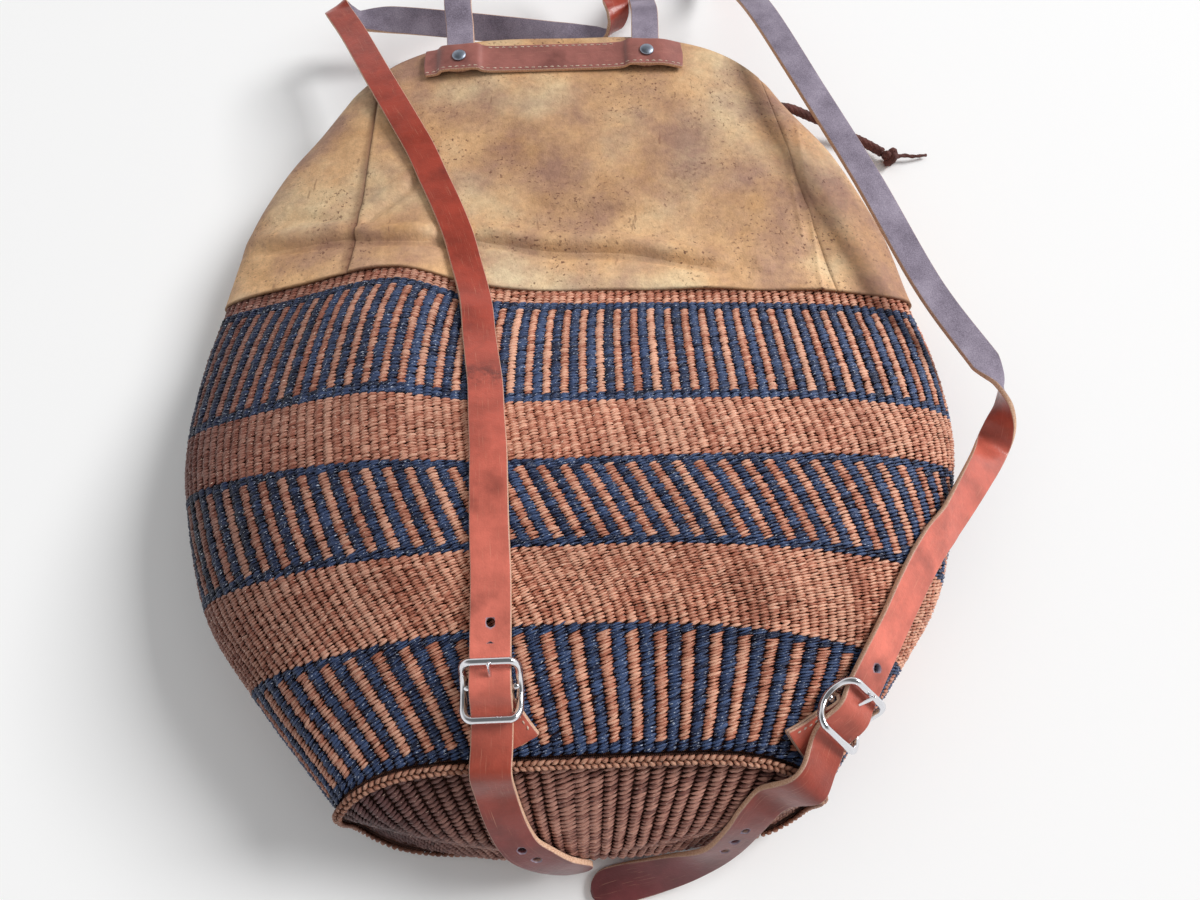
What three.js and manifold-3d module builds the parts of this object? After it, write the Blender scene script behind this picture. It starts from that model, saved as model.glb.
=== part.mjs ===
// A woven sisal sack with a goat-hide collar and two buckled leather shoulder straps.
// Millimetres, +Z up. The sack lies on its front, base towards -Y and mouth towards +Y, straps on top.
import * as THREE from 'three';
import { mergeVertices } from 'three/addons/utils/BufferGeometryUtils.js';
import Module from 'manifold-3d';

const wasm = await Module();
wasm.setup();

// Sections of the sack from the base ring to the mouth. side is where a section meets the sack's edge, half
// its half width, height its crown and widest the height of its edge. lean and dip move the crown and the
// underside along Y, slant the left side, and corner squares the lean off. across and crown are the powers
// that round the section: lower is boxier.
const SECTIONS = {
  side: [-165, -107, -63, 0, 40, 85, 125, 185, 245, 292],
  half: [115, 165, 196, 216, 223, 223, 218, 208, 187, 158],
  height: [86, 108, 112, 106, 94, 77, 64, 65, 67, 70],
  widest: [40, 44, 46, 46, 44, 40, 36, 36, 36, 35],
  lean: [18, 18, 11, -4, -2, -2, -2, 0, 14, 44],
  dip: [-16, -6, 0, 0, 0, 0, 0, 0, 0, -6],
  slant: [0, 0, 0, 0, 3, 9, 14, 10, 5, 0],
  corner: [6, 2, 2, 2, 2, 2, 2, 2, 3, 4],
  across: [0.5, 0.7, 0.75, 0.75, 0.75, 0.75, 0.75, 0.75, 0.75, 0.75],
  crown: [0.55, 0.85, 1, 1, 1, 1, 1, 1, 1, 1],
};
const COLLAR_SECTION_NUMBER = 6;
const BASE_LIFT = 8;
const UNDERSIDE_PRESS = 6;
const UNDERSIDE_ROUND = 0.6;

// Soft swelling of the sack beside the left strap
const SWELL_X = -105;
const SWELL_Y = 100;
const SWELL_LEFT = 70;
const SWELL_RIGHT = 40;
const SWELL_LENGTH = 80;
const SWELL_RISE = 15;
const SWELL_SHIFT = 12;

// Woven sack
const WALL = 5;
const BASE_DOME = 14;
const BASE_CENTRE_Y = -172;
const BASE_CENTRE_Z = 40;
const TWINE_DIAMETER = 5;

// Hide collar
const COLLAR_THICKNESS = 1.8;
const COLLAR_LAP = 12;
const LAP_INSET = 0.8;
const LAP_EASE = 0.08;
const BACK_SEAM_LEFT = [-133, -126];
const BACK_SEAM_RIGHT = [166, 140];
const FRONT_SEAM_LEFT = [-150, -120];
const FRONT_SEAM_RIGHT = [150, 120];

// Mouth hem and drawstring
const CORD_DIAMETER = 7;
const HEM_THICKNESS = 1.5;
const HEM_ROOM = 0.8;
const HEM_EDGE = 1;
const HEM_OPENING = 24;
const HEM_SEAT = 0.8;
const CORD_EXIT_ANGLE = 4;
const KNOT_DIAMETER = 13;
const TIP_DIAMETER = 3.5;
const TIP_LENGTH = 30;

// Shoulder straps
const STRAP_WIDTH = 19;
const STRAP_THICKNESS = 3;
const STRAP_HOLE = 4.4;
const STRAP_LIFT = 1;
const STRAP_END = 9;
const FOLD_RADIUS = 9;

// Yoke strip and rivets
const YOKE_LEFT = -94;
const YOKE_RIGHT = 84;
const YOKE_Y = 316;
const YOKE_WIDTH = 23;
const YOKE_THICKNESS = 2.4;
const YOKE_STEP = 9;
const YOKE_RAMP = 2;
const LEFT_RIVET_X = -69;
const RIGHT_RIVET_X = 59;
const RIVET_CAP_DIAMETER = 9.6;
const RIVET_CAP_HEIGHT = 2.2;
const RIVET_CAP_EDGE = 0.6;
const RIVET_PEEN = 0.8;
const RIVET_POST_DIAMETER = 3.2;
const BURR_DIAMETER = 8;
const BURR_THICKNESS = 1.2;

// Buckles and anchor tabs
const LEFT_BUCKLE = { x: -38, y: -113.6, heading: [0, 1], tabDrift: 8 };
const RIGHT_BUCKLE = { x: 122.5, y: -127.5, heading: [0.6, 0.8], tabDrift: -3 };
const BUCKLE_LENGTH = 29;
const BUCKLE_WIDTH = 29;
const BUCKLE_WIRE = 3.5;
const BUCKLE_CORNER = 6;
const BUCKLE_PLAY = 2;
const PRONG_DIAMETER = 2.4;
const PRONG_TIP_DIAMETER = 1.8;
const PRONG_OVERHANG = 3;
const PRONG_EYE_WALL = 1.4;
const PRONG_EYE_WIDTH = 3.4;
const PRONG_LIFT = 10;
const BUCKLE_ROCK = 4;
const TAB_WIDTH = 18.5;
const TAB_END_WIDTH = 27;
const TAB_LENGTH = 25;
const TAB_THICKNESS = 2;

// Ways of the straps: in the air as places and facings, on the sack as places in plan and a rise
const LEFT_RISE = [
  [-70, 346, 76, 0, 0.4, -0.9], [-71, 364, 84, 0, 0.4, -0.9], [-68, 397, 97, 0, 0, -1],
  [-52, 438, 101, 0, -0.2, -1], [-24, 470, 92, -0.3, -0.9, -0.5], [2, 482, 74, -0.2, -1, 0],
  [24, 466, 59, 0, -0.5, 0.9], [38, 430, 55, 0, 0, 1],
];
const LEFT_FOLD = { middle: [35, 386, 46], headingAngle: -133.8, advance: 20, turn: -1 };
const LEFT_CROSS = [
  [2, 380, 37, 0, 0.6, -0.8], [-40, 388, 37, 0, 0.78, -0.63], [-90, 397, 37, 0, 0.78, -0.63],
  [-130, 404, 36, 0, 0.6, -0.8],
];
const LEFT_CORNER = { middle: [-160, 398, 45], headingAngle: -128.1, advance: 16, turn: 1 };
const LEFT_FALL = [[-150, 362, 58, 0, 0, 1], [-128, 312, 66, 0, 0, 1]];
const LEFT_LIE = [
  [-104, 262, 1.5], [-93, 238, 0.5], [-84, 214, 0], [-75, 190, 0], [-67, 166, 0], [-62, 145, 0],
  [-57, 122, 0.5], [-54, 105, 0.5], [-51, 85, 0], [-48, 65, 0], [-45, 45, 0], [-43, 22, 0],
  [-41, 0, 0], [-40, -22, 0], [-39, -45, 0], [-38, -65, 0], [-38, -82, 0],
];
const LEFT_TAIL_FOOT = [-38.5, -138];
const LEFT_TAIL_RISE = 0.8;
const LEFT_BASE = [[0.8, 100], [0.6, 105.5], [0.43, 116]];
const LEFT_TAIL = [
  [-28.5, -181.5, 53.5, 0, -0.77, 0.63], [-22, -185.5, 47, 0, -0.82, 0.57],
  [-12, -189.5, 37, -0.1, -0.88, 0.45], [1, -191.5, 24, -0.1, -0.92, 0.35],
];
const LEFT_RING_X = -39;
const LEFT_HOLES = [[-38, -87], [-38, -97]];

const RIGHT_RISE = [
  [60, 346, 75, 0, 0, -1], [61, 366, 69, 0, -0.4, -1], [62, 400, 50, 0, -0.5, -0.9],
  [64, 438, 28, -0.5, -0.2, -0.8], [74, 474, 16, -1, 0.2, -0.2], [98, 494, 14, -0.1, 1, 0],
  [124, 478, 18, 1, 0.3, -0.3], [134, 440, 38, 0.6, 0.3, -0.8], [138, 395, 60, 0.1, 0.3, -1],
  [146, 345, 76, 0, 0.2, -1], [165, 272, 82, -0.1, 0, -1], [191, 195, 79, -0.1, 0, -1],
  [218, 118, 70, -0.1, 0, -1],
];
const RIGHT_FOLD = { middle: [244, 44, 54], headingAngle: -90, advance: 48, turn: -1 };
const RIGHT_FALL = [[227, 0, 60, 0.5, 0, 0.86]];
const RIGHT_LIE = [[196, -32, 2], [184, -46, 0.5], [173, -60, 0], [163, -74, 0], [153, -89, 0]];
const RIGHT_TAIL_FOOT = [108.5, -146];
const RIGHT_FOOT_RISE = 1.2;
const RIGHT_TAIL_RISE = 5;
const RIGHT_BASE = [[0.86, 35], [0.76, 28]];
const RIGHT_TAIL = [
  [77, -177, 54, 0.14, -0.85, 0.5], [68, -186, 33, 0.15, -0.85, 0.5], [55, -191.5, 18, 0.1, -0.72, 0.68],
  [36, -196, 9.5, 0, -0.5, 0.86], [18, -199.5, 4.8, 0, -0.2, 0.98], [3, -203.5, 2.4, 0, 0, 1],
];
const RIGHT_RING_X = 100;
const RIGHT_HOLES = [[139, -108.5]];
const TAIL_HOLE_SHARES = [0, 0.45, 0.9];

// Clearances between neighbouring pieces
const GAP = 0.3;
const RUNNING_GAP = 0.5;

// Faces round the sack and along it
const ROUND_STEPS = 48;
const WALL_STEPS = 9;
const COLLAR_STEPS = 6;
const BASE_STEPS = 4;

const UP = new THREE.Vector3(0, 0, 1);
const RIGHT = new THREE.Vector3(1, 0, 0);
// The way that three.js cylinders and lathes point
const AXIS = new THREE.Vector3(0, 1, 0);
const LAST = SECTIONS.side.length - 1;
const COLLAR_OUT = GAP + COLLAR_THICKNESS;

function curveOf(first, second, third) {
  const points = SECTIONS[first].map((x, i) => new THREE.Vector3(x, SECTIONS[second][i], SECTIONS[third][i]));
  return new THREE.CatmullRomCurve3(points, false, 'catmullrom', 0.5);
}
const outline = curveOf('side', 'half', 'height');
const tilt = curveOf('lean', 'dip', 'widest');
const rounding = curveOf('across', 'crown', 'corner');
const shear = curveOf('slant', 'slant', 'slant');

const clamp = THREE.MathUtils.clamp;
const smooth = THREE.MathUtils.smoothstep;
const mix = THREE.MathUtils.lerp;

// Height of the sack's underside: raised at the base ring, on the ground along the belly,
// and raised again by the thickness of the collar where the hide passes under it.
function underside(v) {
  const lap = COLLAR_SECTION_NUMBER - 0.1;
  const atBase = BASE_LIFT * (1 - smooth(v, 0, 0.8));
  return atBase + COLLAR_OUT * smooth(v, lap - 0.6, lap);
}

// The sack's skin at station v and angle a round the section: a = 90 degrees is the crown.
function skin(v, a) {
  const u = clamp(v / LAST, 0, 1);
  const { x: side, y: half, z: height } = outline.getPoint(u);
  const { x: lean, y: dip, z: widest } = tilt.getPoint(u);
  const { x: acrossPower, y: crownPower, z: cornerPower } = rounding.getPoint(u);
  const across = Math.sign(Math.cos(a)) * Math.abs(Math.cos(a)) ** acrossPower;
  const x = half * across;
  const reach = 1 - Math.abs(across) ** cornerPower;
  const left = shear.getPoint(u).x * ((1 - across) / 2) ** 2;
  if (Math.sin(a) < 0) {
    const low = underside(v);
    const depth = (widest - low + UNDERSIDE_PRESS) * (-Math.sin(a)) ** UNDERSIDE_ROUND;
    return new THREE.Vector3(x, side + left + dip * reach, Math.max(low, widest - depth));
  }
  const rise = Math.sin(a) ** crownPower;
  const y = side + left + lean * reach;
  const swellAcross = (x - SWELL_X) / (x > SWELL_X ? SWELL_RIGHT : SWELL_LEFT);
  const swellAlong = (y - SWELL_Y) / SWELL_LENGTH;
  const swell = rise * Math.exp(-(swellAcross ** 2 + swellAlong ** 2));
  const z = widest + (height - widest) * rise + SWELL_RISE * swell;
  return new THREE.Vector3(x, y + SWELL_SHIFT * swell, z);
}

// Outward normal of the skin, from its two tangents.
function skinNormal(v, a) {
  const step = 0.02;
  const along = skin(Math.min(v + step, LAST), a).sub(skin(Math.max(v - step, 0), a));
  const round = skin(v, a + step).sub(skin(v, a - step));
  return along.cross(round).normalize();
}

function offsetSkin(v, a, out) {
  return skin(v, a).addScaledVector(skinNormal(v, a), out);
}

// The angle at which the section at station v reaches plan position x.
function sectionAngle(x, v) {
  const across = clamp(x / outline.getPoint(v / LAST).y, -1, 1);
  return Math.acos(Math.sign(across) * Math.abs(across) ** (1 / rounding.getPoint(v / LAST).x));
}

// The place on the sack's upper side that lies at plan position x, y.
function topPlace(x, y) {
  let low = 0;
  let high = LAST;
  const angle = (v) => sectionAngle(x, v);
  for (let turn = 0; turn < 40; turn += 1) {
    const middle = (low + high) / 2;
    if (skin(middle, angle(middle)).y < y) low = middle;
    else high = middle;
  }
  return { v: low, a: angle(low) };
}

// A closed solid from rings of points: faces join ring to ring, and a ladder of quads closes an open end.
function ringSolid(rings, closed = false) {
  const positions = [];
  const known = new Map();
  const number = (p) => {
    const key = `${p.x.toFixed(3)},${p.y.toFixed(3)},${p.z.toFixed(3)}`;
    if (!known.has(key)) {
      known.set(key, known.size);
      positions.push(p.x, p.y, p.z);
    }
    return known.get(key);
  };
  const ids = rings.map((ring) => ring.map(number));
  const faces = [];
  const quad = (a, b, c, d) => {
    for (const face of [[a, b, c], [a, c, d]]) {
      if (new Set(face).size === 3) faces.push(face);
    }
  };
  const size = ids[0].length;
  const count = ids.length;
  for (let i = 0; i < (closed ? count : count - 1); i += 1) {
    const here = ids[i];
    const next = ids[(i + 1) % count];
    for (let j = 0; j < size; j += 1) {
      const k = (j + 1) % size;
      quad(here[j], here[k], next[k], next[j]);
    }
  }
  if (!closed) {
    for (let j = 0; j < size / 2 - 1; j += 1) {
      const first = ids[0];
      const last = ids[count - 1];
      quad(first[j], first[size - 1 - j], first[size - 2 - j], first[j + 1]);
      quad(last[j], last[j + 1], last[size - 2 - j], last[size - 1 - j]);
    }
  }
  const geometry = new THREE.BufferGeometry();
  geometry.setAttribute('position', new THREE.Float32BufferAttribute(positions, 3));
  const inward = signedVolume(positions, faces) < 0;
  geometry.setIndex(faces.flatMap(([a, b, c]) => (inward ? [a, c, b] : [a, b, c])));
  return geometry;
}

function signedVolume(positions, faces) {
  const at = (i) => new THREE.Vector3().fromArray(positions, 3 * i);
  return faces.reduce((sum, [a, b, c]) => sum + at(a).dot(at(b).cross(at(c))) / 6, 0);
}

// Booleans on closed geometries
function toSolid(geometry) {
  const merged = mergeVertices(positionsOnly(geometry));
  const vertProperties = new Float32Array(merged.attributes.position.array);
  const triVerts = new Uint32Array(merged.index.array);
  return new wasm.Manifold(new wasm.Mesh({ numProp: 3, vertProperties, triVerts }));
}

function positionsOnly(geometry) {
  const bare = geometry.clone();
  bare.deleteAttribute('normal');
  bare.deleteAttribute('uv');
  return bare;
}

function toGeometry(solid) {
  const mesh = solid.getMesh();
  const geometry = new THREE.BufferGeometry();
  geometry.setAttribute('position', new THREE.Float32BufferAttribute(mesh.vertProperties, 3));
  geometry.setIndex([...mesh.triVerts]);
  return geometry;
}

function cut(geometry, tools) {
  return toGeometry(tools.reduce((solid, tool) => solid.subtract(toSolid(tool)), toSolid(geometry)));
}

function join(first, others) {
  return toGeometry(others.reduce((solid, other) => solid.add(toSolid(other)), toSolid(first)));
}

// A cylinder from one point to another.
function rod(from, to, startRadius, endRadius = startRadius, sides = 12) {
  const along = to.clone().sub(from);
  const geometry = new THREE.CylinderGeometry(endRadius, startRadius, along.length(), sides);
  geometry.applyQuaternion(new THREE.Quaternion().setFromUnitVectors(AXIS, along.clone().normalize()));
  const middle = from.clone().add(to).multiplyScalar(0.5);
  return geometry.translate(middle.x, middle.y, middle.z);
}

// A round tube along a list of points.
function tube(points, diameter, sides, closed = false) {
  const count = points.length;
  const rings = points.map((p, i) => {
    const before = points[closed ? (i + count - 1) % count : Math.max(i - 1, 0)];
    const after = points[closed ? (i + 1) % count : Math.min(i + 1, count - 1)];
    const tangent = after.clone().sub(before).normalize();
    const side = new THREE.Vector3().crossVectors(tangent, Math.abs(tangent.z) > 0.9 ? RIGHT : UP);
    side.setLength(diameter / 2);
    const top = new THREE.Vector3().crossVectors(side, tangent);
    return circle(sides, (c, s) => p.clone().addScaledVector(side, c).addScaledVector(top, s));
  });
  return ringSolid(rings, closed);
}

function circle(sides, place) {
  return Array.from({ length: sides }, (_, i) => {
    const angle = (2 * Math.PI * (i + 0.5)) / sides;
    return place(Math.cos(angle), Math.sin(angle));
  });
}

function smoothPath(points, steps) {
  return new THREE.CatmullRomCurve3(points, false, 'catmullrom', 0.5).getPoints(steps);
}

// A flat band swept along guides {p, n}: n is the way its smooth face looks.
function band(guides, width, thickness, stepsPerGuide) {
  const steps = (guides.length - 1) * stepsPerGuide;
  const middle = smoothPath(guides.map((g) => g.p), steps);
  const faces = smoothPath(guides.map((g) => g.n), steps);
  const widths = guides.map((g) => g.width ?? width);
  const widthAt = (i) => {
    const k = Math.min(Math.floor(i / stepsPerGuide), widths.length - 2);
    return THREE.MathUtils.lerp(widths[k], widths[k + 1], i / stepsPerGuide - k);
  };
  const rings = middle.map((p, i) => {
    const tangent = middle[Math.min(i + 1, steps)].clone().sub(middle[Math.max(i - 1, 0)]).normalize();
    const side = new THREE.Vector3().crossVectors(tangent, faces[i]).setLength(widthAt(i) / 2);
    const face = new THREE.Vector3().crossVectors(side, tangent).setLength(thickness / 2);
    const at = (across, out) => p.clone().addScaledVector(side, across).addScaledVector(face, out);
    return [at(-1, -1), at(1, -1), at(1, 1), at(-1, 1)];
  });
  return ringSolid(rings);
}

// Woven sack
const COLLAR_STEP = SECTIONS.side[COLLAR_SECTION_NUMBER + 1] - SECTIONS.side[COLLAR_SECTION_NUMBER];
const RIM_STATION = COLLAR_SECTION_NUMBER + COLLAR_LAP / COLLAR_STEP;
const stepsTo = (count, value) => Array.from({ length: count + 1 }, (_, i) => value(i / count));
const angles = evenAngles(COLLAR_SECTION_NUMBER, ROUND_STEPS, 0, 2 * Math.PI).slice(0, -1);

// Angles that space points evenly round the section at station v, from one angle to another.
function evenAngles(v, count, from, to) {
  const fine = 40 * count;
  const angleAt = (i) => mix(from, to, i / fine);
  const lengths = [0];
  for (let i = 1; i <= fine; i += 1) {
    lengths.push(lengths[i - 1] + skin(v, angleAt(i)).distanceTo(skin(v, angleAt(i - 1))));
  }
  return stepsTo(count, (f) => angleAt(lengths.findIndex((length) => length >= f * lengths[fine])));
}
const BASE_CENTRE = new THREE.Vector3(0, BASE_CENTRE_Y, BASE_CENTRE_Z);

// The domed base at radius share r: 1 on the base ring, 0 at its middle.
function basePoint(r, a) {
  const point = BASE_CENTRE.clone().lerp(skin(0, a), r);
  point.y -= BASE_DOME * (1 - r * r);
  return point;
}

function baseNormal(r, a) {
  const near = Math.max(r, 0.1);
  const out = basePoint(near + 0.02, a).sub(basePoint(near - 0.02, a));
  const round = basePoint(near, a + 0.02).sub(basePoint(near, a - 0.02));
  const normal = out.cross(round).normalize();
  return normal.y > 0 ? normal.negate() : normal;
}

// The corner where wall and base meet: both are mitred to it.
function baseCorner(a) {
  const outer = skin(0, a);
  const wallFace = skinNormal(0, a);
  const mitre = wallFace.clone().add(baseNormal(1, a)).normalize();
  const inner = outer.clone().addScaledVector(mitre, -WALL / mitre.dot(wallFace));
  const up = skin(0.05, a).sub(outer).setLength(GAP / 2);
  const down = basePoint(0.95, a).sub(outer).setLength(GAP / 2);
  return { outer, inner, mitre, up, down };
}

function sackWall() {
  return ringSolid(angles.map((a) => {
    const ring = baseCorner(a);
    const belowCollar = stepsTo(WALL_STEPS, (f) => f * (COLLAR_SECTION_NUMBER - LAP_EASE));
    const rows = [...belowCollar, COLLAR_SECTION_NUMBER, RIM_STATION];
    const inset = (v) => (v < COLLAR_SECTION_NUMBER ? 0 : -LAP_INSET);
    const outer = rows.map((v, i) => (i ? offsetSkin(v, a, inset(v)) : ring.outer.clone().add(ring.up)));
    const inner = rows.map((v, i) => (i ? offsetSkin(v, a, -WALL) : ring.inner.clone().add(ring.up)));
    return [...outer, ...inner.reverse()];
  }), true);
}

function sackBase() {
  return ringSolid(angles.map((a) => {
    const ring = baseCorner(a);
    const rows = stepsTo(BASE_STEPS, (f) => 1 - f);
    const inside = (r) => (r ? basePoint(r, a).addScaledVector(baseNormal(r, a), -WALL)
      : basePoint(0, a).add(new THREE.Vector3(0, WALL, 0)));
    const outer = rows.map((r, i) => (i ? basePoint(r, a) : ring.outer.clone().add(ring.down)));
    const inner = rows.map((r, i) => (i ? inside(r) : ring.inner.clone().add(ring.down)));
    return [...outer, ...inner.reverse()];
  }), true);
}

function baseTwine() {
  const path = angles.map((a) => {
    const ring = baseCorner(a);
    return ring.outer.addScaledVector(ring.mitre, TWINE_DIAMETER / 2 + GAP);
  });
  return tube(path, TWINE_DIAMETER, 6, true);
}

// Hide collar: four panels between seams, each seam a plan X at the collar's edge and at the mouth
function seamX(seam, v) {
  return mix(seam[0], seam[1], (v - COLLAR_SECTION_NUMBER) / (LAST - COLLAR_SECTION_NUMBER));
}

function seamAngle(seam, v) {
  return sectionAngle(seamX(seam, v), v);
}

function collarPanel(place, steps) {
  const rows = stepsTo(COLLAR_STEPS, (f) => mix(COLLAR_SECTION_NUMBER, LAST, f));
  const angleAt = (v, f) => {
    const a = place(v, f);
    const speed = skin(v, a + 0.01).distanceTo(skin(v, a - 0.01)) / 0.02;
    return a + (f === 0 ? 1 : f === 1 ? -1 : 0) * GAP / 2 / speed;
  };
  return ringSolid(stepsTo(steps, (f) => f).map((f) => {
    const outer = rows.map((v) => offsetSkin(v, angleAt(v, f), COLLAR_OUT));
    const inner = rows.map((v) => offsetSkin(v, angleAt(v, f), GAP));
    return [...outer, ...inner.reverse()];
  }));
}

function upperPanel(v, f) {
  return sectionAngle(mix(seamX(BACK_SEAM_RIGHT, v), seamX(BACK_SEAM_LEFT, v), f), v);
}

function leftPanel(v, f) {
  return mix(seamAngle(BACK_SEAM_LEFT, v), 2 * Math.PI - seamAngle(FRONT_SEAM_LEFT, v), f);
}

function lowerPanel(v, f) {
  return 2 * Math.PI - sectionAngle(mix(seamX(FRONT_SEAM_LEFT, v), seamX(FRONT_SEAM_RIGHT, v), f), v);
}

function rightPanel(v, f) {
  return mix(-seamAngle(FRONT_SEAM_RIGHT, v), seamAngle(BACK_SEAM_RIGHT, v), f);
}

// Mouth hem: a folded channel inside the collar's edge, open where the drawstring comes out
const HEM_INNER = CORD_DIAMETER / 2 + HEM_ROOM;
const HEM_OUTER = HEM_INNER + HEM_THICKNESS;

function hemPlace(a) {
  const step = 0.05;
  const reach = skin(LAST, a).distanceTo(skin(LAST - step, a)) / step;
  const v = LAST - (HEM_EDGE + HEM_OUTER) / reach;
  const out = skinNormal(v, a);
  const along = skin(LAST, a).sub(skin(v, a)).normalize();
  return { out, along, middle: skin(v, a).addScaledVector(out, -HEM_INNER) };
}
const exitAngle = THREE.MathUtils.degToRad(CORD_EXIT_ANGLE);
const exitSpeed = skin(LAST, exitAngle + 0.05).distanceTo(skin(LAST, exitAngle - 0.05)) / 0.1;
const exitHalf = HEM_OPENING / 2 / exitSpeed;
const hemAngles = evenAngles(LAST, ROUND_STEPS, exitAngle + exitHalf, exitAngle + 2 * Math.PI - exitHalf);

function mouthHem() {
  const bends = [0, 45, 90, 135, 180].map(THREE.MathUtils.degToRad);
  return ringSolid(hemAngles.map((a) => {
    const { out, along, middle } = hemPlace(a);
    const at = (x, z) => middle.clone().addScaledVector(along, x).addScaledVector(out, z);
    const channel = (radius) => [
      at(radius, HEM_INNER - HEM_SEAT),
      ...bends.map((b) => at(radius * Math.cos(b), -radius * Math.sin(b))),
      at(-radius, HEM_INNER - HEM_SEAT),
    ];
    return [...channel(HEM_OUTER), ...channel(HEM_INNER).reverse()];
  }));
}

// Drawstring: its run in the hem, then the free end over the mouth's edge and down to the ground
function hemRun() {
  return ringSolid(hemAngles.map((a) => {
    const { out, along, middle } = hemPlace(a);
    along.setLength(CORD_DIAMETER / 2);
    out.setLength(CORD_DIAMETER / 2);
    return circle(8, (c, s) => middle.clone().addScaledVector(along, c).addScaledVector(out, s));
  }));
}
const CORD_ROUTE = [
  [148.5, 293, 37.5], [147, 297, 31], [148, 306, 27], [157, 313, 25], [169, 315, 22],
  [184, 312, 17], [200, 307, 12.5], [214, 301, 8], [227, 294, 6],
].map((p) => new THREE.Vector3(...p));
const KNOT_PLACE = new THREE.Vector3(243, 279, 6.8);
const TIP_END = new THREE.Vector3(272, 283, 3);

function freeCord() {
  const { out, along, middle } = hemPlace(hemAngles[0]);
  const lead = new THREE.Vector3().crossVectors(out, along);
  if (lead.z > 0) lead.negate();
  const start = middle.clone().addScaledVector(lead, 3 * GAP);
  const straight = middle.clone().addScaledVector(lead, CORD_DIAMETER * 0.6);
  const toKnot = CORD_ROUTE.at(-1).clone().sub(KNOT_PLACE).setLength(KNOT_DIAMETER / 2 + GAP);
  const end = KNOT_PLACE.clone().add(toKnot);
  return tube(smoothPath([start, straight, ...CORD_ROUTE, end], 27), CORD_DIAMETER, 8);
}

function cordKnot() {
  const knot = new THREE.SphereGeometry(KNOT_DIAMETER / 2, 10, 8);
  return knot.translate(KNOT_PLACE.x, KNOT_PLACE.y, KNOT_PLACE.z);
}

function cordTip() {
  const away = TIP_END.clone().sub(KNOT_PLACE).normalize();
  const start = KNOT_PLACE.clone().addScaledVector(away, KNOT_DIAMETER / 2 + GAP);
  const end = KNOT_PLACE.clone().addScaledVector(away, TIP_LENGTH);
  return rod(start, end, TIP_DIAMETER / 2, TIP_DIAMETER / 3, 8);
}

// Buckles: each sits on its anchor tab, in its own frame: X up the strap, Y along the bar, Z off the sack
const TAB_TOP = TAB_THICKNESS - BUCKLE_WIRE / 2;
const STRAP_AT_ENDS = TAB_TOP + RUNNING_GAP + STRAP_THICKNESS / 2;
const STRAP_AT_BAR = BUCKLE_WIRE / 2 + TAB_THICKNESS + 2 * RUNNING_GAP + STRAP_THICKNESS / 2;
const END_REACH = (BUCKLE_LENGTH - BUCKLE_WIRE) / 2;
const SIDE_REACH = (BUCKLE_WIDTH - BUCKLE_WIRE) / 2;
const END_RISE = STRAP_AT_ENDS + STRAP_THICKNESS / 2 + BUCKLE_PLAY + BUCKLE_WIRE / 2;
const EYE_INNER = BUCKLE_WIRE / 2 + GAP;
const EYE_OUTER = EYE_INNER + PRONG_EYE_WALL;

function buckleSeat({ x, y, heading }) {
  const { v, a } = topPlace(x, y);
  const tabEnd = topPlace(x - heading[0] * TAB_LENGTH, y - heading[1] * TAB_LENGTH);
  const out = skinNormal(v, a).add(skinNormal(tabEnd.v, tabEnd.a)).normalize();
  const up = new THREE.Vector3(...heading, 0);
  up.addScaledVector(out, -up.dot(out)).normalize();
  const bar = new THREE.Vector3().crossVectors(out, up);
  const middle = skin(v, a).addScaledVector(out, 2 * GAP + TAB_THICKNESS + BUCKLE_WIRE / 2);
  return new THREE.Matrix4().makeBasis(up, bar, out).setPosition(middle);
}
const leftSeat = buckleSeat(LEFT_BUCKLE);
const rightSeat = buckleSeat(RIGHT_BUCKLE);
const inSeat = (seat, x, z, y = 0) => new THREE.Vector3(x, y, z).applyMatrix4(seat);
const seatOut = (seat) => new THREE.Vector3().setFromMatrixColumn(seat, 2);

// A rounded wire frame, bowed so that its ends clear the strap, with a straight centre bar.
function buckleFrame() {
  const l = END_REACH;
  const w = SIDE_REACH;
  const r = BUCKLE_CORNER - BUCKLE_WIRE / 2;
  const path = new THREE.Path();
  path.absarc(l - r, w - r, r, 0, Math.PI / 2);
  path.absarc(-l + r, w - r, r, Math.PI / 2, Math.PI);
  path.absarc(-l + r, -w + r, r, Math.PI, 1.5 * Math.PI);
  path.absarc(l - r, -w + r, r, 1.5 * Math.PI, 2 * Math.PI);
  path.closePath();
  const corners = path.getSpacedPoints(36).slice(0, -1);
  const wire = corners.map((p) => new THREE.Vector3(p.x, p.y, END_RISE * (p.x / l) ** 2));
  const barEnd = new THREE.Vector3(0, w, 0);
  const bar = rod(barEnd.clone().negate(), barEnd, BUCKLE_WIRE / 2, BUCKLE_WIRE / 2, 10);
  return join(tube(wire, BUCKLE_WIRE, 8, true), [bar]);
}

// The prong's stem runs from its eye to just past the top bar, on which it rests.
const BAR_DISTANCE = Math.hypot(END_REACH, END_RISE);
const STEM_HEIGHT = BUCKLE_WIRE / 2 + PRONG_DIAMETER / 2 + GAP;
const STEM_ANGLE = Math.atan2(END_RISE, END_REACH) + Math.asin(STEM_HEIGHT / BAR_DISTANCE);
const STEM_LENGTH = Math.sqrt(BAR_DISTANCE ** 2 - STEM_HEIGHT ** 2) + PRONG_OVERHANG;

// The outline of a flat ring, to turn about its axis.
function hoop(inner, outer, low, high) {
  const corners = [[inner, low], [outer, low], [outer, high], [inner, high], [inner, low]];
  return corners.map(([x, y]) => new THREE.Vector2(x, y));
}

function stem(angle, startRadius, endRadius, start, end) {
  const way = new THREE.Vector3(Math.cos(angle), 0, Math.sin(angle));
  return rod(way.clone().multiplyScalar(start), way.clone().multiplyScalar(end), startRadius, endRadius, 10);
}

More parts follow.
